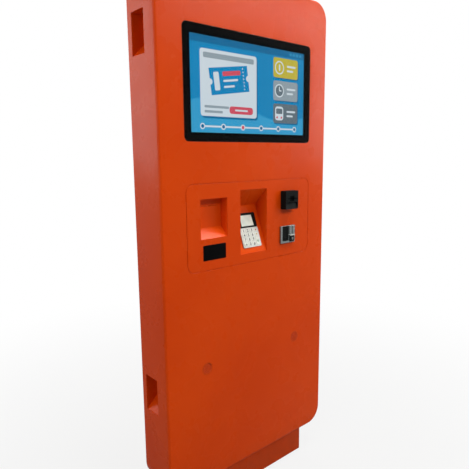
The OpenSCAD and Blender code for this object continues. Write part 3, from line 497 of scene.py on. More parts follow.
# Round bead along a rounded rectangle, for seals
def makeBeadTree():
    tree, given = startTree("beadOnOutline", {"Width": 0.1, "Height": 0.1, "Corner": 0.01, "Bead": 0.001})
    outline = addNode(tree, "GeometryNodeCurvePrimitiveQuadrilateral",
                      {"Width": given["Width"], "Height": given["Height"]})
    bent = addNode(tree, "GeometryNodeFilletCurve", {"Curve": outline, "Count": 8,
                   "Radius": given["Corner"], "Limit Radius": True}, mode="POLY")
    return endTree(tree, given, sweep(tree, bent, given["Bead"], sides=8, caps=False))


# Socket head screw on each of the piece's points
def makeScrewTree():
    tree, given = startTree("screwOnPoints", {"Head": 0.003, "Height": 0.002, "Socket": 0.0015})
    half = addNode(tree, "ShaderNodeMath", {0: given["Height"], 1: 0.5}, operation="MULTIPLY")
    middleAt = addNode(tree, "ShaderNodeCombineXYZ", {"Z": half})
    socketAt = addNode(tree, "ShaderNodeCombineXYZ", {"Z": given["Height"]})
    head = addNode(tree, "GeometryNodeMeshCylinder",
                   {"Vertices": 20, "Radius": given["Head"], "Depth": given["Height"]})
    standing = addNode(tree, "GeometryNodeTransform",
                       {"Geometry": head.outputs["Mesh"], "Translation": middleAt})
    drive = addNode(tree, "GeometryNodeMeshCylinder",
                    {"Vertices": 6, "Radius": given["Socket"], "Depth": given["Height"]})
    sunk = addNode(tree, "GeometryNodeTransform",
                   {"Geometry": drive.outputs["Mesh"], "Translation": socketAt})
    screw = addNode(tree, "GeometryNodeMeshBoolean", {0: standing, 1: sunk}, operation="DIFFERENCE")
    spread = addNode(tree, "GeometryNodeInstanceOnPoints", {"Points": given["Geometry"], "Instance": screw})
    return endTree(tree, given, spread)


# Row of round ribs, one above the other
def makeRibTree():
    tree, given = startTree("ribRow", {"Count": 5, "Pitch": 0.005, "Length": 0.05, "Rib": 0.001})
    half = addNode(tree, "ShaderNodeMath", {0: given["Length"], 1: 0.5}, operation="MULTIPLY")
    other = addNode(tree, "ShaderNodeMath", {0: given["Length"], 1: -0.5}, operation="MULTIPLY")
    start = addNode(tree, "ShaderNodeCombineXYZ", {"X": other})
    end = addNode(tree, "ShaderNodeCombineXYZ", {"X": half})
    line = addNode(tree, "GeometryNodeCurvePrimitiveLine", {"Start": start, "End": end})
    rib = sweep(tree, line, given["Rib"], sides=10)
    steps = addNode(tree, "ShaderNodeMath", {0: given["Count"], 1: -1.0}, operation="ADD")
    reach = addNode(tree, "ShaderNodeMath", {0: steps, 1: given["Pitch"]}, operation="MULTIPLY")
    low = addNode(tree, "ShaderNodeMath", {0: reach, 1: -0.5}, operation="MULTIPLY")
    first = addNode(tree, "ShaderNodeCombineXYZ", {"Y": low})
    step = addNode(tree, "ShaderNodeCombineXYZ", {"Y": given["Pitch"]})
    row = addNode(tree, "GeometryNodeMeshLine",
                  {"Count": given["Count"], "Start Location": first, "Offset": step})
    spread = addNode(tree, "GeometryNodeInstanceOnPoints", {"Points": row, "Instance": rib})
    return endTree(tree, given, spread)


# Finger guard: wire rings one outside the other, on straight legs 1.8 wires behind them
def makeGuardTree():
    tree, given = startTree("ringGuard", {"Rings": 5, "First": 0.01, "Step": 0.007, "Wire": 0.001, "Legs": 4})
    index = addNode(tree, "GeometryNodeInputIndex")
    grown = addNode(tree, "ShaderNodeMath", {0: index, 1: given["Step"], 2: given["First"]},
                    operation="MULTIPLY_ADD")
    circle = addNode(tree, "GeometryNodeCurvePrimitiveCircle", {"Resolution": 48, "Radius": 1.0})
    still = addNode(tree, "GeometryNodeMeshLine", {"Count": given["Rings"], "Offset": (0.0, 0.0, 0.0)})
    rings = addNode(tree, "GeometryNodeInstanceOnPoints",
                    {"Points": still, "Instance": circle, "Scale": grown})
    outer = addNode(tree, "ShaderNodeMath", {0: given["Rings"], 1: given["Step"], 2: given["First"]},
                    operation="MULTIPLY_ADD")
    lift = addNode(tree, "ShaderNodeMath", {0: given["Wire"], 1: -1.8}, operation="MULTIPLY")
    inEnd = addNode(tree, "ShaderNodeCombineXYZ", {"X": given["First"], "Z": lift})
    outEnd = addNode(tree, "ShaderNodeCombineXYZ", {"X": outer, "Z": lift})
    leg = addNode(tree, "GeometryNodeCurvePrimitiveLine", {"Start": inEnd, "End": outEnd})
    share = addNode(tree, "ShaderNodeMath", {0: math.tau, 1: given["Legs"]}, operation="DIVIDE")
    turned = addNode(tree, "ShaderNodeMath", {0: index, 1: share, 2: math.pi / 4}, operation="MULTIPLY_ADD")
    turn = addNode(tree, "ShaderNodeCombineXYZ", {"Z": turned})
    stillLegs = addNode(tree, "GeometryNodeMeshLine", {"Count": given["Legs"], "Offset": (0.0, 0.0, 0.0)})
    legs = addNode(tree, "GeometryNodeInstanceOnPoints",
                   {"Points": stillLegs, "Instance": leg, "Rotation": turn})
    wires = addNode(tree, "GeometryNodeJoinGeometry", {0: [rings, legs]})
    plain = addNode(tree, "GeometryNodeRealizeInstances", {0: wires})
    return endTree(tree, given, sweep(tree, plain, given["Wire"], sides=6))


beadTree = makeBeadTree()
screwTree = makeScrewTree()
ribTree = makeRibTree()
guardTree = makeGuardTree()


# A piece grown by a tree in a flat frame, then set in its place as a plain mesh
def growPiece(name, tree, sizes, finish, place, body, points=()):
    mesh = bpy.data.meshes.new(name)
    mesh.from_pydata([(x * mm, y * mm, 0) for x, y in points], [], [])
    piece = newPiece(name, mesh, finish)
    modifier = piece.modifiers.new("grow", "NODES")
    modifier.node_group = tree
    sockets = {item.name: item.identifier for item in tree.interface.items_tree if item.in_out == "INPUT"}
    for label, value in sizes.items():
        modifier[sockets[label]] = value if isinstance(value, int) else value * mm
    modifier[sockets["Finish"]] = finish
    bakeModifiers(piece)
    piece.data.transform(place)
    shape = bmesh.new()
    shape.from_mesh(piece.data)
    bmesh.ops.recalc_face_normals(shape, faces=shape.faces)
    shape.to_mesh(piece.data)
    shape.free()
    piece.data.polygons.foreach_set("use_smooth", [True] * len(piece.data.polygons))
    piece.data.set_sharp_from_angle(angle=math.radians(crispDeg))
    settle(piece, body)


# Seals

# Each runs round a node's outline, wider or narrower by its margin
seals = {"touchGlassSeal": {"round": "touch_glass", "margin": 0.6, "corner": 15.3, "bead": 0.42},
         "rearDoorSeal": {"round": "rear_door", "margin": -16.0, "corner": 6.0, "bead": 3.0}}


# A bead round the glass, and foam cord on the rear wall inside the rim of the closed door
def makeSeals():
    faces = {"touchGlassSeal": (frontFrame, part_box("touch_glass")[0].y),
             "rearDoorSeal": (rearFrame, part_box("rear_wall")[1].y)}
    for name, seal in seals.items():
        low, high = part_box(seal["round"])
        wide, _, tall = (high - low) / mm
        faceFrame, face = faces[name]
        growPiece(name, beadTree, {"Width": wide + seal["margin"], "Height": tall + seal["margin"],
                  "Corner": seal["corner"], "Bead": seal["bead"]}, gasketRubber,
                  faceFrame(0, face + seal["bead"] * mm, (low.z + high.z) / 2), "cabinet")


makeSeals()
print("seals laid")


# Screen picture: flat layers of lit colour in front of the liquid crystal face

# Sizes in millimetres from the middle of the screen; tiles say colour, layer, x, y, width, height and corner
picture = {
    "size": (476.0, 268.0), "layerMm": 0.14,
    "hill": {"steps": 24, "level": -62, "swing": 30, "start": 0.6, "reach": 5.2},
    "tiles": (
        # bar and buttons along the top, and the line along the bottom
        ("Deep", 1, 0, 124, 476, 20, 0.5), ("Pale", 2, 220, 124, 9, 9, 4.4), ("Pale", 2, 204, 124, 9, 9, 3),
        ("Pale", 2, 188, 124, 9, 9, 3), ("Pale", 2, 172, 124, 9, 9, 3), ("White", 2, 0, -116, 390, 5, 2.4),
        # window with its shade, title, button and rows
        ("Deep", 2, -87, 0, 220, 186, 9), ("White", 3, -92, 6, 220, 186, 9),
        ("Silver", 4, -92, 82, 196, 15, 4), ("Rose", 4, -46, -66, 96, 22, 9),
        ("White", 5, -46, -66, 52, 5, 2.4), ("Silver", 4, -142, -60, 92, 7, 3),
        ("Silver", 4, -154, -74, 68, 7, 3),
        # coin, clock and train
        ("White", 6, 120, 78, 6, 20, 2.8), ("White", 6, 120, 12, 4, 14, 1.9),
        ("White", 7, 124, 6, 11, 4, 1.9), ("White", 4, 120, -66, 38, 44, 10),
        ("Slate", 5, 120, -59, 29, 17, 4),
    ),
    # colour, layer, x, y, radius and steps
    "discs": (
        ("White", 4, 120, 78, 21, 28), ("Yellow", 5, 120, 78, 17, 28), ("White", 4, 120, 6, 21, 28),
        ("Slate", 5, 120, 6, 17, 28), ("Rose", 5, 110, -79, 3.6, 18), ("Rose", 5, 130, -79, 3.6, 18),
    ),
    # three tiles to choose from, each with a shade and two rows
    "choices": {"Yellow": 78, "Silver": 6, "Slate": -66},
    "choiceTile": (("Deep", 2, 154, -4, 116, 62, 8), ("", 3, 150, 0, 116, 62, 8),
                   ("White", 4, 176, 7, 42, 6, 2.8), ("White", 4, 170, -7, 30, 6, 2.8)),
    "ticket": {"at": (-92, 20), "size": (150, 76), "bite": 9, "leanDeg": 8,
               "tiles": (("White", 5, -50, 0, 20, 52, 4), ("Rose", 5, 10, 19, 70, 13, 3),
                         ("White", 5, 4, -1, 58, 6, 3), ("White", 5, -4, -18, 42, 6, 3)),
               "dots": [(56, up) for up in range(-30, 31, 10)], "dotR": 2.0, "dotSteps": 12},
    "stops": {-196: "Deep", -118: "Deep", -40: "Rose", 38: "Deep", 116: "Deep", 194: "Deep"},
    "stopY": -116, "stopR": 9, "stopMarkR": 5.5,
}
litColours = {
    "Sky": ("#0c7cb2", "#128cc4"), "Deep": ("#0d6594", "#0f6c9d"), "Pale": ("#2f98c8", "#3ba2d0"),
    "White": ("#cdd6df", "#d6dde4"), "Silver": ("#8d9aa3", "#98a4ac"), "Slate": ("#5f6d77", "#66747d"),
    "Yellow": ("#bfae3a", "#c6b548"), "Rose": ("#cf4a5c", "#d65668"),
}


# Ticket with a half-round bite in each end
def ticketOutline(x, y, width, height, bite, turnDeg):
    points = []
    for side in (1, -1):
        points.append(Vector((side * width / 2, -side * height / 2)))
        for k in range(9):
            angle = math.radians(-90 + 180 * k / 8)
            points.append(side * Vector((width / 2 - bite * math.cos(angle), bite * math.sin(angle))))
        points.append(Vector((side * width / 2, side * height / 2)))
    turn = Matrix.Rotation(math.radians(turnDeg), 2)
    return [turn @ p + Vector((x, y)) for p in points]


# Each lit shape as colour, layer and outline
def pictureShapes():
    right, top = picture["size"][0] / 2, picture["size"][1] / 2
    hill, ticket = picture["hill"], picture["ticket"]
    steps, lean = hill["steps"], ticket["leanDeg"]

    def onTicket(across, up):
        return Matrix.Rotation(math.radians(lean), 2) @ Vector((across, up)) + Vector(ticket["at"])

    foot = [Vector((-right, -top)), Vector((right, -top))]
    waves = [math.sin(k / steps * hill["reach"] + hill["start"]) for k in range(steps + 1)]
    ridge = [Vector((-right + 2 * right * k / steps, hill["level"] + hill["swing"] * wave))
             for k, wave in enumerate(waves)]
    shapes = [("Sky", 0, foot + [Vector((right, top)), Vector((-right, top))]),
              ("Pale", 1, foot + ridge[::-1]),
              ("Sky", 4, ticketOutline(*ticket["at"], *ticket["size"], ticket["bite"], lean))]
    shapes += [(colour, layer, roundTile(*tile)) for colour, layer, *tile in picture["tiles"]]
    shapes += [(colour, layer, discOutline(*disc)) for colour, layer, *disc in picture["discs"]]
    shapes += [(colour, layer, roundTile(*onTicket(x, y), *tile, lean))
               for colour, layer, x, y, *tile in ticket["tiles"]]
    shapes += [("White", 5, discOutline(*onTicket(*dot), ticket["dotR"], ticket["dotSteps"]))
               for dot in ticket["dots"]]
    for own, level in picture["choices"].items():
        shapes += [(colour or own, layer, roundTile(x, level + y, *tile))
                   for colour, layer, x, y, *tile in picture["choiceTile"]]
    for x, colour in picture["stops"].items():
        shapes.append(("White", 3, discOutline(x, picture["stopY"], picture["stopR"])))
        shapes.append((colour, 4, discOutline(x, picture["stopY"], picture["stopMarkR"])))
    return shapes


def makePicture():
    place = frontFrame(0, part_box("lcd_panel")[0].y, middle("lcd_panel").z)
    layer = picture["layerMm"]
    for colour, tones in litColours.items():
        shape = bmesh.new()
        for name, level, outline in pictureShapes():
            if name == colour:
                addPrism(shape, outline, layer * level, layer * (level + 1), place)
        placeShape("screenPicture" + colour, shape, makeLit("litScreen" + colour, *tones),
                   smoothDeg=0.0)


makePicture()
print("screen picture drawn")


# Key legends: plain characters and shapes printed on the caps

legends = {"characterMm": 9.0, "boldMm": 0.3, "inkMm": 0.08, "markMm": 7.4, "strokeMm": 1.9, "starMm": 1.3,
           "capitalShare": 0.7, "curveSteps": 4, "weldMm": 0.0005, "faceMm": 0.01}
keyMarks = {"key_cancel": redInk, "key_clear": amberInk, "key_enter": greenInk, "key_star": darkInk}


# The frame of a terminal piece's face: across, up the slope and outwards, as the keys stand
def slopeFrame(node):
    across = Vector((1, 0, 0))
    outwards = -Vector(jointOf["key_1_press"]["axis"]).normalized()
    up = outwards.cross(across)
    heights = [(outwards.dot(v.co), v.co) for v in frame["nodes"][node].data.vertices]
    top = max(height for height, _ in heights)
    face = [co for height, co in heights if height > top - legends["faceMm"] * mm]
    centre = (Vector(map(min, zip(*face))) + Vector(map(max, zip(*face)))) / 2
    place = Matrix((across, up, outwards)).transposed().to_4x4()
    place.translation = centre
    return place


def characterMesh(text, name, place):
    curve = bpy.data.curves.new(name, "FONT")
    curve.body = text
    curve.size = legends["characterMm"] * mm / legends["capitalShare"]
    curve.align_x = "CENTER"
    curve.align_y = "CENTER"
    curve.extrude = legends["inkMm"] * mm / 2
    curve.offset = legends["boldMm"] * mm
    curve.resolution_u = legends["curveSteps"]
    sign = bpy.data.objects.new(name, curve)
    bpy.context.scene.collection.objects.link(sign)
    bpy.context.view_layer.update()
    mesh = bpy.data.meshes.new_from_object(sign.evaluated_get(bpy.context.evaluated_depsgraph_get()))
    bpy.data.objects.remove(sign)
    shape = bmesh.new()
    shape.from_mesh(mesh)
    bmesh.ops.remove_doubles(shape, verts=shape.verts, dist=legends["weldMm"] * mm)
    bmesh.ops.transform(shape, matrix=place, verts=shape.verts)
    return meshFrom(shape, name)


# Cross, arrow and ring for the three function keys, and the star
def markMesh(node, name, place):
    shape = bmesh.new()
    arm, half, depth = legends["markMm"] / 2, legends["strokeMm"] / 2, legends["inkMm"] / 2
    if node == "key_enter":
        addRing(shape, discOutline(0, 0, arm), discOutline(0, 0, arm - 2 * half), -depth, depth, place)
        return meshFrom(shape, name)
    if node == "key_cancel":
        plus = ((half, half), (half, arm), (-half, arm), (-half, half), (-arm, half), (-arm, -half),
                (-half, -half), (-half, -arm), (half, -arm), (half, -half), (arm, -half), (arm, half))
        turn = Matrix.Rotation(math.radians(45), 2)
        outline = [turn @ Vector(p) for p in plus]
    elif node == "key_clear":
        outline = [Vector(p) for p in ((-arm, 0), (0, -arm), (0, -half), (arm, -half), (arm, half),
                                       (0, half), (0, arm))]
    else:
        half = legends["starMm"] / 2
        outline = []
        for k in range(6):
            turn = Matrix.Rotation(math.radians(60 * k + 30), 2)
            notch = Matrix.Rotation(math.radians(60 * k + 60), 2) @ Vector((2 * half, 0))
            outline += [turn @ Vector((arm, -half)), turn @ Vector((arm, half)), notch]
    addPrism(shape, outline, -depth, depth, place)
    return meshFrom(shape, name)


def makeLegends():
    characters = {"hash": "#"}
    for node in keyNodes:
        label = node.split("_")[1]
        name = pieceName(node, "Legend")
        place = slopeFrame(node)
        if node in keyMarks:
            mesh = markMesh(node, name, place)
        else:
            mesh = characterMesh(characters.get(label, label), name, place)
        settle(newPiece(name, mesh, keyMarks.get(node, darkInk)), bodyOf[node])


makeLegends()
print("key legends printed")


# Small fittings on the front

ticketLip = {"width": 83.6, "height": 5.6, "gap": 1.4, "sheet": 2.0, "proud": 0.8, "depth": 9.0,
             "flange": 3.2, "sleeveCorner": 1.4, "rimCorner": 2.4, "throatCorner": 0.5}
# the display mask's wider top and right strips are painted shadow
displayMask = {"size": (57.6, 39.6), "top": 2.6, "bottom": 0.8, "left": 0.8, "rightLow": 3.0,
               "rightHigh": 6.0, "thick": 0.5}
speakerRing = {"outer": 21.5, "inner": 17.0, "proud": 0.2, "slope": 1.0, "steps": 64, "smoothDeg": 60}
# the last number of the ledge and of the card slot's lips is their corner
coinTrim = {"plate": 3.0, "ledge": (24.0, 3.2, 1.2), "ledgeOut": 5.0, "ledgeDown": 3.9,
            "spotR": 3.4, "spotRing": 1.1, "spotIn": 0.2, "spotOut": 0.5, "frame": 2.4, "frameOut": 0.7,
            "cup": (25.0, 46.0), "cupUp": 3.0, "cupCorners": (1.6, 0.4),
            "buttonGap": 0.5, "buttonCorners": (2.6, 2.0), "ribsOut": 1.0, "ribsDown": 2.0}
flapRibs = {"Count": 4, "Pitch": 7.0, "Length": 17.0, "Rib": 0.6}
readerTrim = {"lip": (15.0, 1.5, 0.6), "apart": 2.2, "lipIn": 0.4, "lipOut": 1.6, "slotUp": 4.0,
              "notch": 11.0}


# Sleeve through the niche's back wall, with a flange that covers the edge of the cut
def makeTicketLip():
    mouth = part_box("ticket_printer")[0].y
    place = frontFrame(middle("ticket_niche").x, mouth, middle("platen_roller").z)
    wide, tall, gap = ticketLip["width"], ticketLip["height"], ticketLip["gap"]
    flange, sheet = 2 * ticketLip["flange"], ticketLip["sheet"]
    inside, outside = -ticketLip["depth"], sheet + ticketLip["proud"]
    sleeve = roundTile(0, 0, wide, tall, ticketLip["sleeveCorner"])
    rim = roundTile(0, 0, wide + flange, tall + flange, ticketLip["rimCorner"])
    throat = roundTile(0, 0, wide - tall + gap, gap, ticketLip["throatCorner"])
    shape = bmesh.new()
    addLoops(shape, ((sleeve, inside), (sleeve, sheet), (rim, sheet), (rim, outside), (throat, outside),
                     (throat, inside)), place)
    placeShape("ticketSlotLip", shape, litNichePaint)


# Black mask under the display's window: a narrow printed border, drawn wider along the top and the right as
# painted shadow of the window's rim
def makeDisplayMaskAndShadow():
    right, upper = displayMask["size"][0] / 2, displayMask["size"][1] / 2
    outer = [Vector(p) for p in ((right, -upper), (right, upper), (-right, upper), (-right, -upper))]
    low, high = displayMask["bottom"] - upper, upper - displayMask["top"]
    left = displayMask["left"] - right
    rightLow, rightHigh = right - displayMask["rightLow"], right - displayMask["rightHigh"]
    inner = [Vector(p) for p in ((rightLow, low), (rightHigh, high), (left, high), (left, low))]
    shape = bmesh.new()
    addRing(shape, outer, inner, 0, displayMask["thick"], slopeFrame("terminal_display"))
    placeShape("displayMask", shape, blackAbs, smoothDeg=0.0)


# Thin rings that edge the perforated fields of the speakers, whose darker orange is painted shade of the
# perforations
def makeSpeakerRings():
    outer, inner = speakerRing["outer"], speakerRing["inner"]
    proud, slope = speakerRing["proud"], speakerRing["slope"]
    section = [(discOutline(0, 0, radius, speakerRing["steps"]), level) for radius, level in
               ((outer, 0), (outer - slope, proud), (inner + slope, proud), (inner, 0))]
    shape = bmesh.new()
    for side in (-1, 1):
        addLoops(shape, section, frontFrame(side * speakerAt[0], speakerAt[1], speakerAt[2]))
    placeShape("speakerRings", shape, shadedRingPaint, smoothDeg=speakerRing["smoothDeg"])


# Ledge under the coin slot, ring on the button, frames round the cup and the button, ribs on the flap
def makeCoinTrim():
    plate, button = middle("coin_faceplate"), middle("coin_return_button")
    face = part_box("coin_faceplate")[0].y + coinTrim["plate"] * mm
    low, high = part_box("coin_return_button")
    shape = bmesh.new()
    addPrism(shape, roundTile(0, 0, *coinTrim["ledge"]), 0, coinTrim["ledgeOut"],
             frontFrame(button.x, face, plate.z - coinTrim["ledgeDown"] * mm))
    placeShape("coinLedge", shape, nickel)
    shape = bmesh.new()
    spot = coinTrim["spotR"]
    addRing(shape, discOutline(0, 0, spot), discOutline(0, 0, spot - coinTrim["spotRing"]),
            -coinTrim["spotIn"], coinTrim["spotOut"], frontFrame(button.x, low.y, button.z))
    placeShape("coinButtonRing", shape, nickel, "return_button")
    size = (high.x - low.x) / mm + 2 * coinTrim["buttonGap"]
    cupAt = frontFrame(middle("coin_return_flap").x, face, plate.z + coinTrim["cupUp"] * mm)
    edge = 2 * coinTrim["frame"]
    shape = bmesh.new()
    for (wide, tall), (corner, innerCorner), place in (
            (coinTrim["cup"], coinTrim["cupCorners"], cupAt),
            ((size, size), coinTrim["buttonCorners"], frontFrame(button.x, face, button.z))):
        addRing(shape, roundTile(0, 0, wide + edge, tall + edge, corner),
                roundTile(0, 0, wide, tall, innerCorner), 0, coinTrim["frameOut"], place)
    placeShape("coinUnitFrames", shape, blackAbs)
    x, y, z = jointOf["return_flap_swing"]["pos_m"]
    ribsZ = (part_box("coin_return_flap")[0].z + z) / 2 - coinTrim["ribsDown"] * mm
    growPiece("coinFlapRibs", ribTree, flapRibs, blackAbs, frontFrame(x, y - coinTrim["ribsOut"] * mm, ribsZ),
              "return_flap")


# Grey lips above and below the card slot, at the bottom of the thumb notch
def makeReaderTrim():
    centre = middle("card_reader_bezel")
    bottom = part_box("card_reader_bezel")[0].y + readerTrim["notch"] * mm
    place = frontFrame(centre.x, bottom, centre.z + readerTrim["slotUp"] * mm)
    shape = bmesh.new()
    for side in (-1, 1):
        lip = roundTile(0, side * readerTrim["apart"], *readerTrim["lip"])
        addPrism(shape, lip, -readerTrim["lipIn"], readerTrim["lipOut"], place)
    placeShape("cardSlotLips", shape, greyAbs)


makeTicketLip()
makeDisplayMaskAndShadow()
makeSpeakerRings()
makeCoinTrim()
makeReaderTrim()
print("front fittings set")


# Service fittings at the rear and inside

screws = {"Head": 3.2, "Height": 2.2, "Socket": 1.7}
hinges = {"endIn": 30, "edgeIn": 8, "apart": 20, "leaf": 2}
monitor = {"rimIn": (24, 10), "wallPlate": 50, "louvresAside": 150.0}
louvres = {"Count": 9, "Pitch": 8.0, "Length": 70.0, "Rib": 1.3}
supply = {"terminals": 9, "pitch": 20, "down": 11}
guard = {"Rings": 5, "First": 9.0, "Step": 6.4, "Wire": 0.7, "Legs": 4}
guardWiresOff = 2.2
coinBoxHandle = {"span": 64.0, "reach": 15.0, "strap": 3.0, "width": 14.0, "edge": 0.8}
# shells say x, width and height
pcPorts = {"shells": ((-78, 16, 12), (-50, 16, 14), (-22, 16, 14), (10, 15, 7), (42, 15, 7), (74, 9, 9)),
           "behind": 18, "corner": 1.0, "innerCorner": 0.6, "wall": 0.6, "sunk": 2.0, "out": 1.5}


def rearScrews(name, points, x, face, z):
    growPiece(name, screwTree, screws, zinc, rearFrame(x, face, z), "cabinet", points)


def makeServiceFittings():
    # hinge leaves are held to the rear wall by two screws each
    low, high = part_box("hinge_posts")
    spread = (high.z - low.z) / mm / 2 - hinges["endIn"]
    aside = hinges["edgeIn"] - high.x / mm
    places = [(aside, up + side * hinges["apart"]) for up in (-spread, 0, spread) for side in (-1, 1)]
    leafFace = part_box("rear_wall")[1].y + hinges["leaf"] * mm
    rearScrews("hingeScrews", places, 0, leafFace, middle("hinge_posts").z)
    # monitor: rim screws, the four of the wall plate pattern, and louvres
    low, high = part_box("monitor_housing")
    rimX, rimZ = [side / mm / 2 - inset for side, inset in zip((high - low).xz, monitor["rimIn"])]
    plate, level = monitor["wallPlate"], middle("monitor_housing").z
    places = [(sx * rimX, sy * rimZ) for sx in (-1, 0, 1) for sy in (-1, 1)]
    places += [(sx * plate, sy * plate) for sx in (-1, 1) for sy in (-1, 1)]
    rearScrews("monitorScrews", places, 0, high.y, level)
    for side, name in ((-1, "monitorLouvresLeft"), (1, "monitorLouvresRight")):
        place = rearFrame(side * monitor["louvresAside"] * mm, high.y, level)
        growPiece(name, ribTree, louvres, galvanised, place, "cabinet")
    # terminal screws of the power supply
    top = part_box("power_supply")[1]
    places = [(supply["pitch"] * (k - (supply["terminals"] - 1) / 2), 0) for k in range(supply["terminals"])]
    rearScrews("supplyTerminals", places, middle("power_supply").x, top.y, top.z - supply["down"] * mm)
    # finger guard on the inner face of the fan
    centre = middle("fan_frame")
    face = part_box("fan_frame")[0].y - guardWiresOff * guard["Wire"] * mm
    growPiece("fanGuard", guardTree, guard, zinc, frontFrame(centre.x, face, centre.z), "door")
    # strap handle of the coin box
    half, reach, strap = coinBoxHandle["span"] / 2, coinBoxHandle["reach"], coinBoxHandle["strap"]
    width = coinBoxHandle["width"]
    outline = [Vector(p) for p in ((-half, 0), (-half + strap, 0), (-half + strap, reach - strap),
               (half - strap, reach - strap), (half - strap, 0), (half, 0), (half, reach), (-half, reach))]
    centre = middle("coin_box")
    shape = bmesh.new()
    addPrism(shape, outline, -width / 2, width / 2,
             Matrix.Translation((centre.x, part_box("coin_box")[1].y, centre.z)))
    piece = newPiece("coinBoxHandle", meshFrom(shape, "coinBoxHandle"), zinc)
    bevel = piece.modifiers.new("edges", "BEVEL")
    bevel.width = coinBoxHandle["edge"] * mm
    bevel.segments = 2
    bakeModifiers(piece)
    settle(piece, "cabinet")
    # metal port shells under the computer
    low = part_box("control_pc")[0]
    down = Matrix(((1, 0, 0, middle("control_pc").x), (0, 1, 0, low.y + pcPorts["behind"] * mm),
                   (0, 0, -1, low.z), (0, 0, 0, 1)))
    wall = 2 * pcPorts["wall"]
    shape = bmesh.new()
    for x, wide, tall in pcPorts["shells"]:
        addRing(shape, roundTile(x, 0, wide, tall, pcPorts["corner"]),
                roundTile(x, 0, wide - wall, tall - wall, pcPorts["innerCorner"]),
                -pcPorts["sunk"], pcPorts["out"], down)
    placeShape("computerPorts", shape, zinc)


makeServiceFittings()
print("service fittings set")


# Camera, light and floor

camera = {"position": (-1.0473, -1.2150, 1.1483), "azimuthDeg": 40.83, "pitchDeg": -9.48, "rollDeg": -0.536,
          "lensPixels": 477.0, "framePixels": 469, "sensorMm": 36.0}


def makeCamera():
    data = bpy.data.cameras.new("photoCamera")
    data.sensor_width = camera["sensorMm"]
    data.lens = camera["lensPixels"] / camera["framePixels"] * camera["sensorMm"]
    data.clip_end = 200
    view = bpy.data.objects.new("photoCamera", data)
    bpy.context.scene.collection.objects.link(view)
    turn = (Matrix.Rotation(math.radians(-camera["azimuthDeg"]), 4, "Z")
            @ Matrix.Rotation(math.radians(90 + camera["pitchDeg"]), 4, "X")
            @ Matrix.Rotation(math.radians(camera["rollDeg"]), 4, "Z"))
    view.matrix_world = Matrix.Translation(camera["position"]) @ turn
    bpy.context.scene.camera = view


# Soft boxes: place, what they point at, size and watts
softBoxes = {
    "overheadBox": ((-0.6, -2.9, 12.0), (0.0, -0.1, 0.9), (7.0, 4.0), 760),
    "highRightBox": ((2.05, -0.9, 4.1), (-0.16, -0.1, 0.95), (1.4, 1.0), 85),
    "rightTallBox": ((2.7, -1.85, 2.1), (0.2, -0.1, 1.45), (0.4, 0.9), 12),
    "rightLowBox": ((2.7, -1.85, 1.4), (0.2, -0.1, 1.3), (0.4, 0.5), 9),
    "frontRightBox": ((2.5, -2.1, 2.62), (0.1, -0.1, 1.5), (0.9, 0.6), 8),
    "frontBox": ((1.75, -2.45, 2.72), (0.0, -0.1, 1.5), (1.2, 0.56), 24),
    "frontFarBox": ((0.3, -5.2, 4.3), (0.0, -0.1, 0.95), (1.6, 0.8), 105),
    "leftBox": ((-2.4, -0.5, 1.7), (-0.35, 0.0, 1.0), (1.6, 1.8), 27),
    "rearLeftBox": ((-1.75, 2.1, 1.75), (-0.35, 0.0, 1.35), (0.9, 1.4), 15),
    "rearRightBox": ((2.3, 2.3, 2.6), (0.2, 0.1, 1.0), (1.6, 1.4), 50),
    "rearFarBox": ((0.7, 5.2, 3.0), (0.0, 0.1, 0.9), (2.6, 2.2), 110),
}
room = {"fill": 0.04, "floorColour": "#8f8f8c", "floorHalf": 30.0, "nearM": 0.4,
        "seen": {"near": 0.84, "farM": 2.4}, "mirrored": {"near": 0.0, "farM": 6.0}}


# One for the ray kinds that see the white background, nought for the others
def backgroundRays(tree):
    rays = addNode(tree, "ShaderNodeLightPath")
    seen = addNode(tree, "ShaderNodeMath",
                   {0: rays.outputs["Is Camera Ray"], 1: rays.outputs["Is Glossy Ray"]}, operation="ADD")
    return addNode(tree, "ShaderNodeMath", {0: seen, 1: rays.outputs["Is Transmission Ray"]},
                   operation="ADD", use_clamp=True)


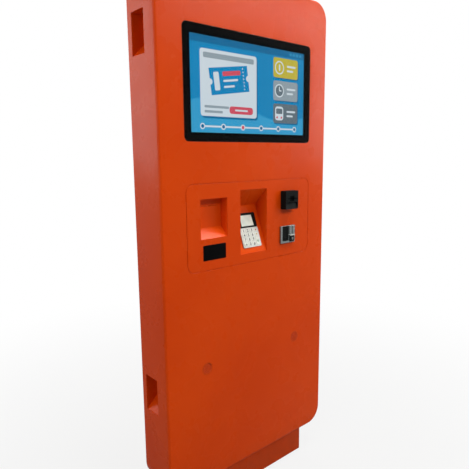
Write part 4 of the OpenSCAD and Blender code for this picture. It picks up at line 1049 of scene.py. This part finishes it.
def makeLight():
    scene = bpy.context.scene
    scene.view_settings.view_transform = "Standard"
    for name, (place, target, size, watts) in softBoxes.items():
        data = bpy.data.lights.new(name, "AREA")
        data.shape = "RECTANGLE"
        data.size, data.size_y = size
        data.energy = watts
        lamp = bpy.data.objects.new(name, data)
        scene.collection.objects.link(lamp)
        aim = (Vector(target) - Vector(place)).to_track_quat("-Z", "Y").to_matrix().to_4x4()
        lamp.matrix_world = Matrix.Translation(place) @ aim
    world = bpy.data.worlds.new("studio")
    scene.world = world
    world.use_nodes = True
    tree = world.node_tree
    tree.nodes.clear()
    fill = addNode(tree, "ShaderNodeBackground", {"Color": (1, 1, 1, 1), "Strength": room["fill"]})
    white = addNode(tree, "ShaderNodeBackground", {"Color": (1, 1, 1, 1), "Strength": 1.0})
    mix = addNode(tree, "ShaderNodeMixShader", {0: backgroundRays(tree), 1: fill, 2: white})
    addNode(tree, "ShaderNodeOutputWorld", {0: mix})


def makeFloor():
    half = room["floorHalf"]
    mesh = bpy.data.meshes.new("studioFloor")
    mesh.from_pydata([(-half, -half, 0), (half, -half, 0), (half, half, 0), (-half, half, 0)], [],
                     [(0, 1, 2, 3)])
    material = bpy.data.materials.new("paleStudioFloor")
    material.use_nodes = True
    tree = material.node_tree
    tree.nodes.clear()
    matt = addNode(tree, "ShaderNodeBsdfDiffuse", {"Color": hexColour(room["floorColour"])})
    white = addNode(tree, "ShaderNodeEmission", {"Color": (1, 1, 1, 1), "Strength": 1.0})
    # the floor goes to plain white away from the object; near it the shadow stays, more so in reflections
    place = addNode(tree, "ShaderNodeTexCoord").outputs["Object"]
    away = addNode(tree, "ShaderNodeVectorMath", {0: place}, operation="LENGTH")
    seen, mirrored = [addNode(tree, "ShaderNodeMapRange",
                              {"Value": away.outputs["Value"], "From Min": room["nearM"],
                               "From Max": room[kind]["farM"], "To Min": room[kind]["near"], "To Max": 1.0},
                              interpolation_type="SMOOTHSTEP") for kind in ("seen", "mirrored")]
    glossy = addNode(tree, "ShaderNodeLightPath").outputs["Is Glossy Ray"]
    whiter = addNode(tree, "ShaderNodeMix", {0: glossy, 2: seen, 3: mirrored})
    share = addNode(tree, "ShaderNodeMath", {0: backgroundRays(tree), 1: whiter}, operation="MULTIPLY")
    mix = addNode(tree, "ShaderNodeMixShader", {0: share, 1: matt, 2: white})
    addNode(tree, "ShaderNodeOutputMaterial", {0: mix})
    newPiece("studioFloor", mesh, material)


makeCamera()
makeLight()
makeFloor()
print("camera, light and floor set")
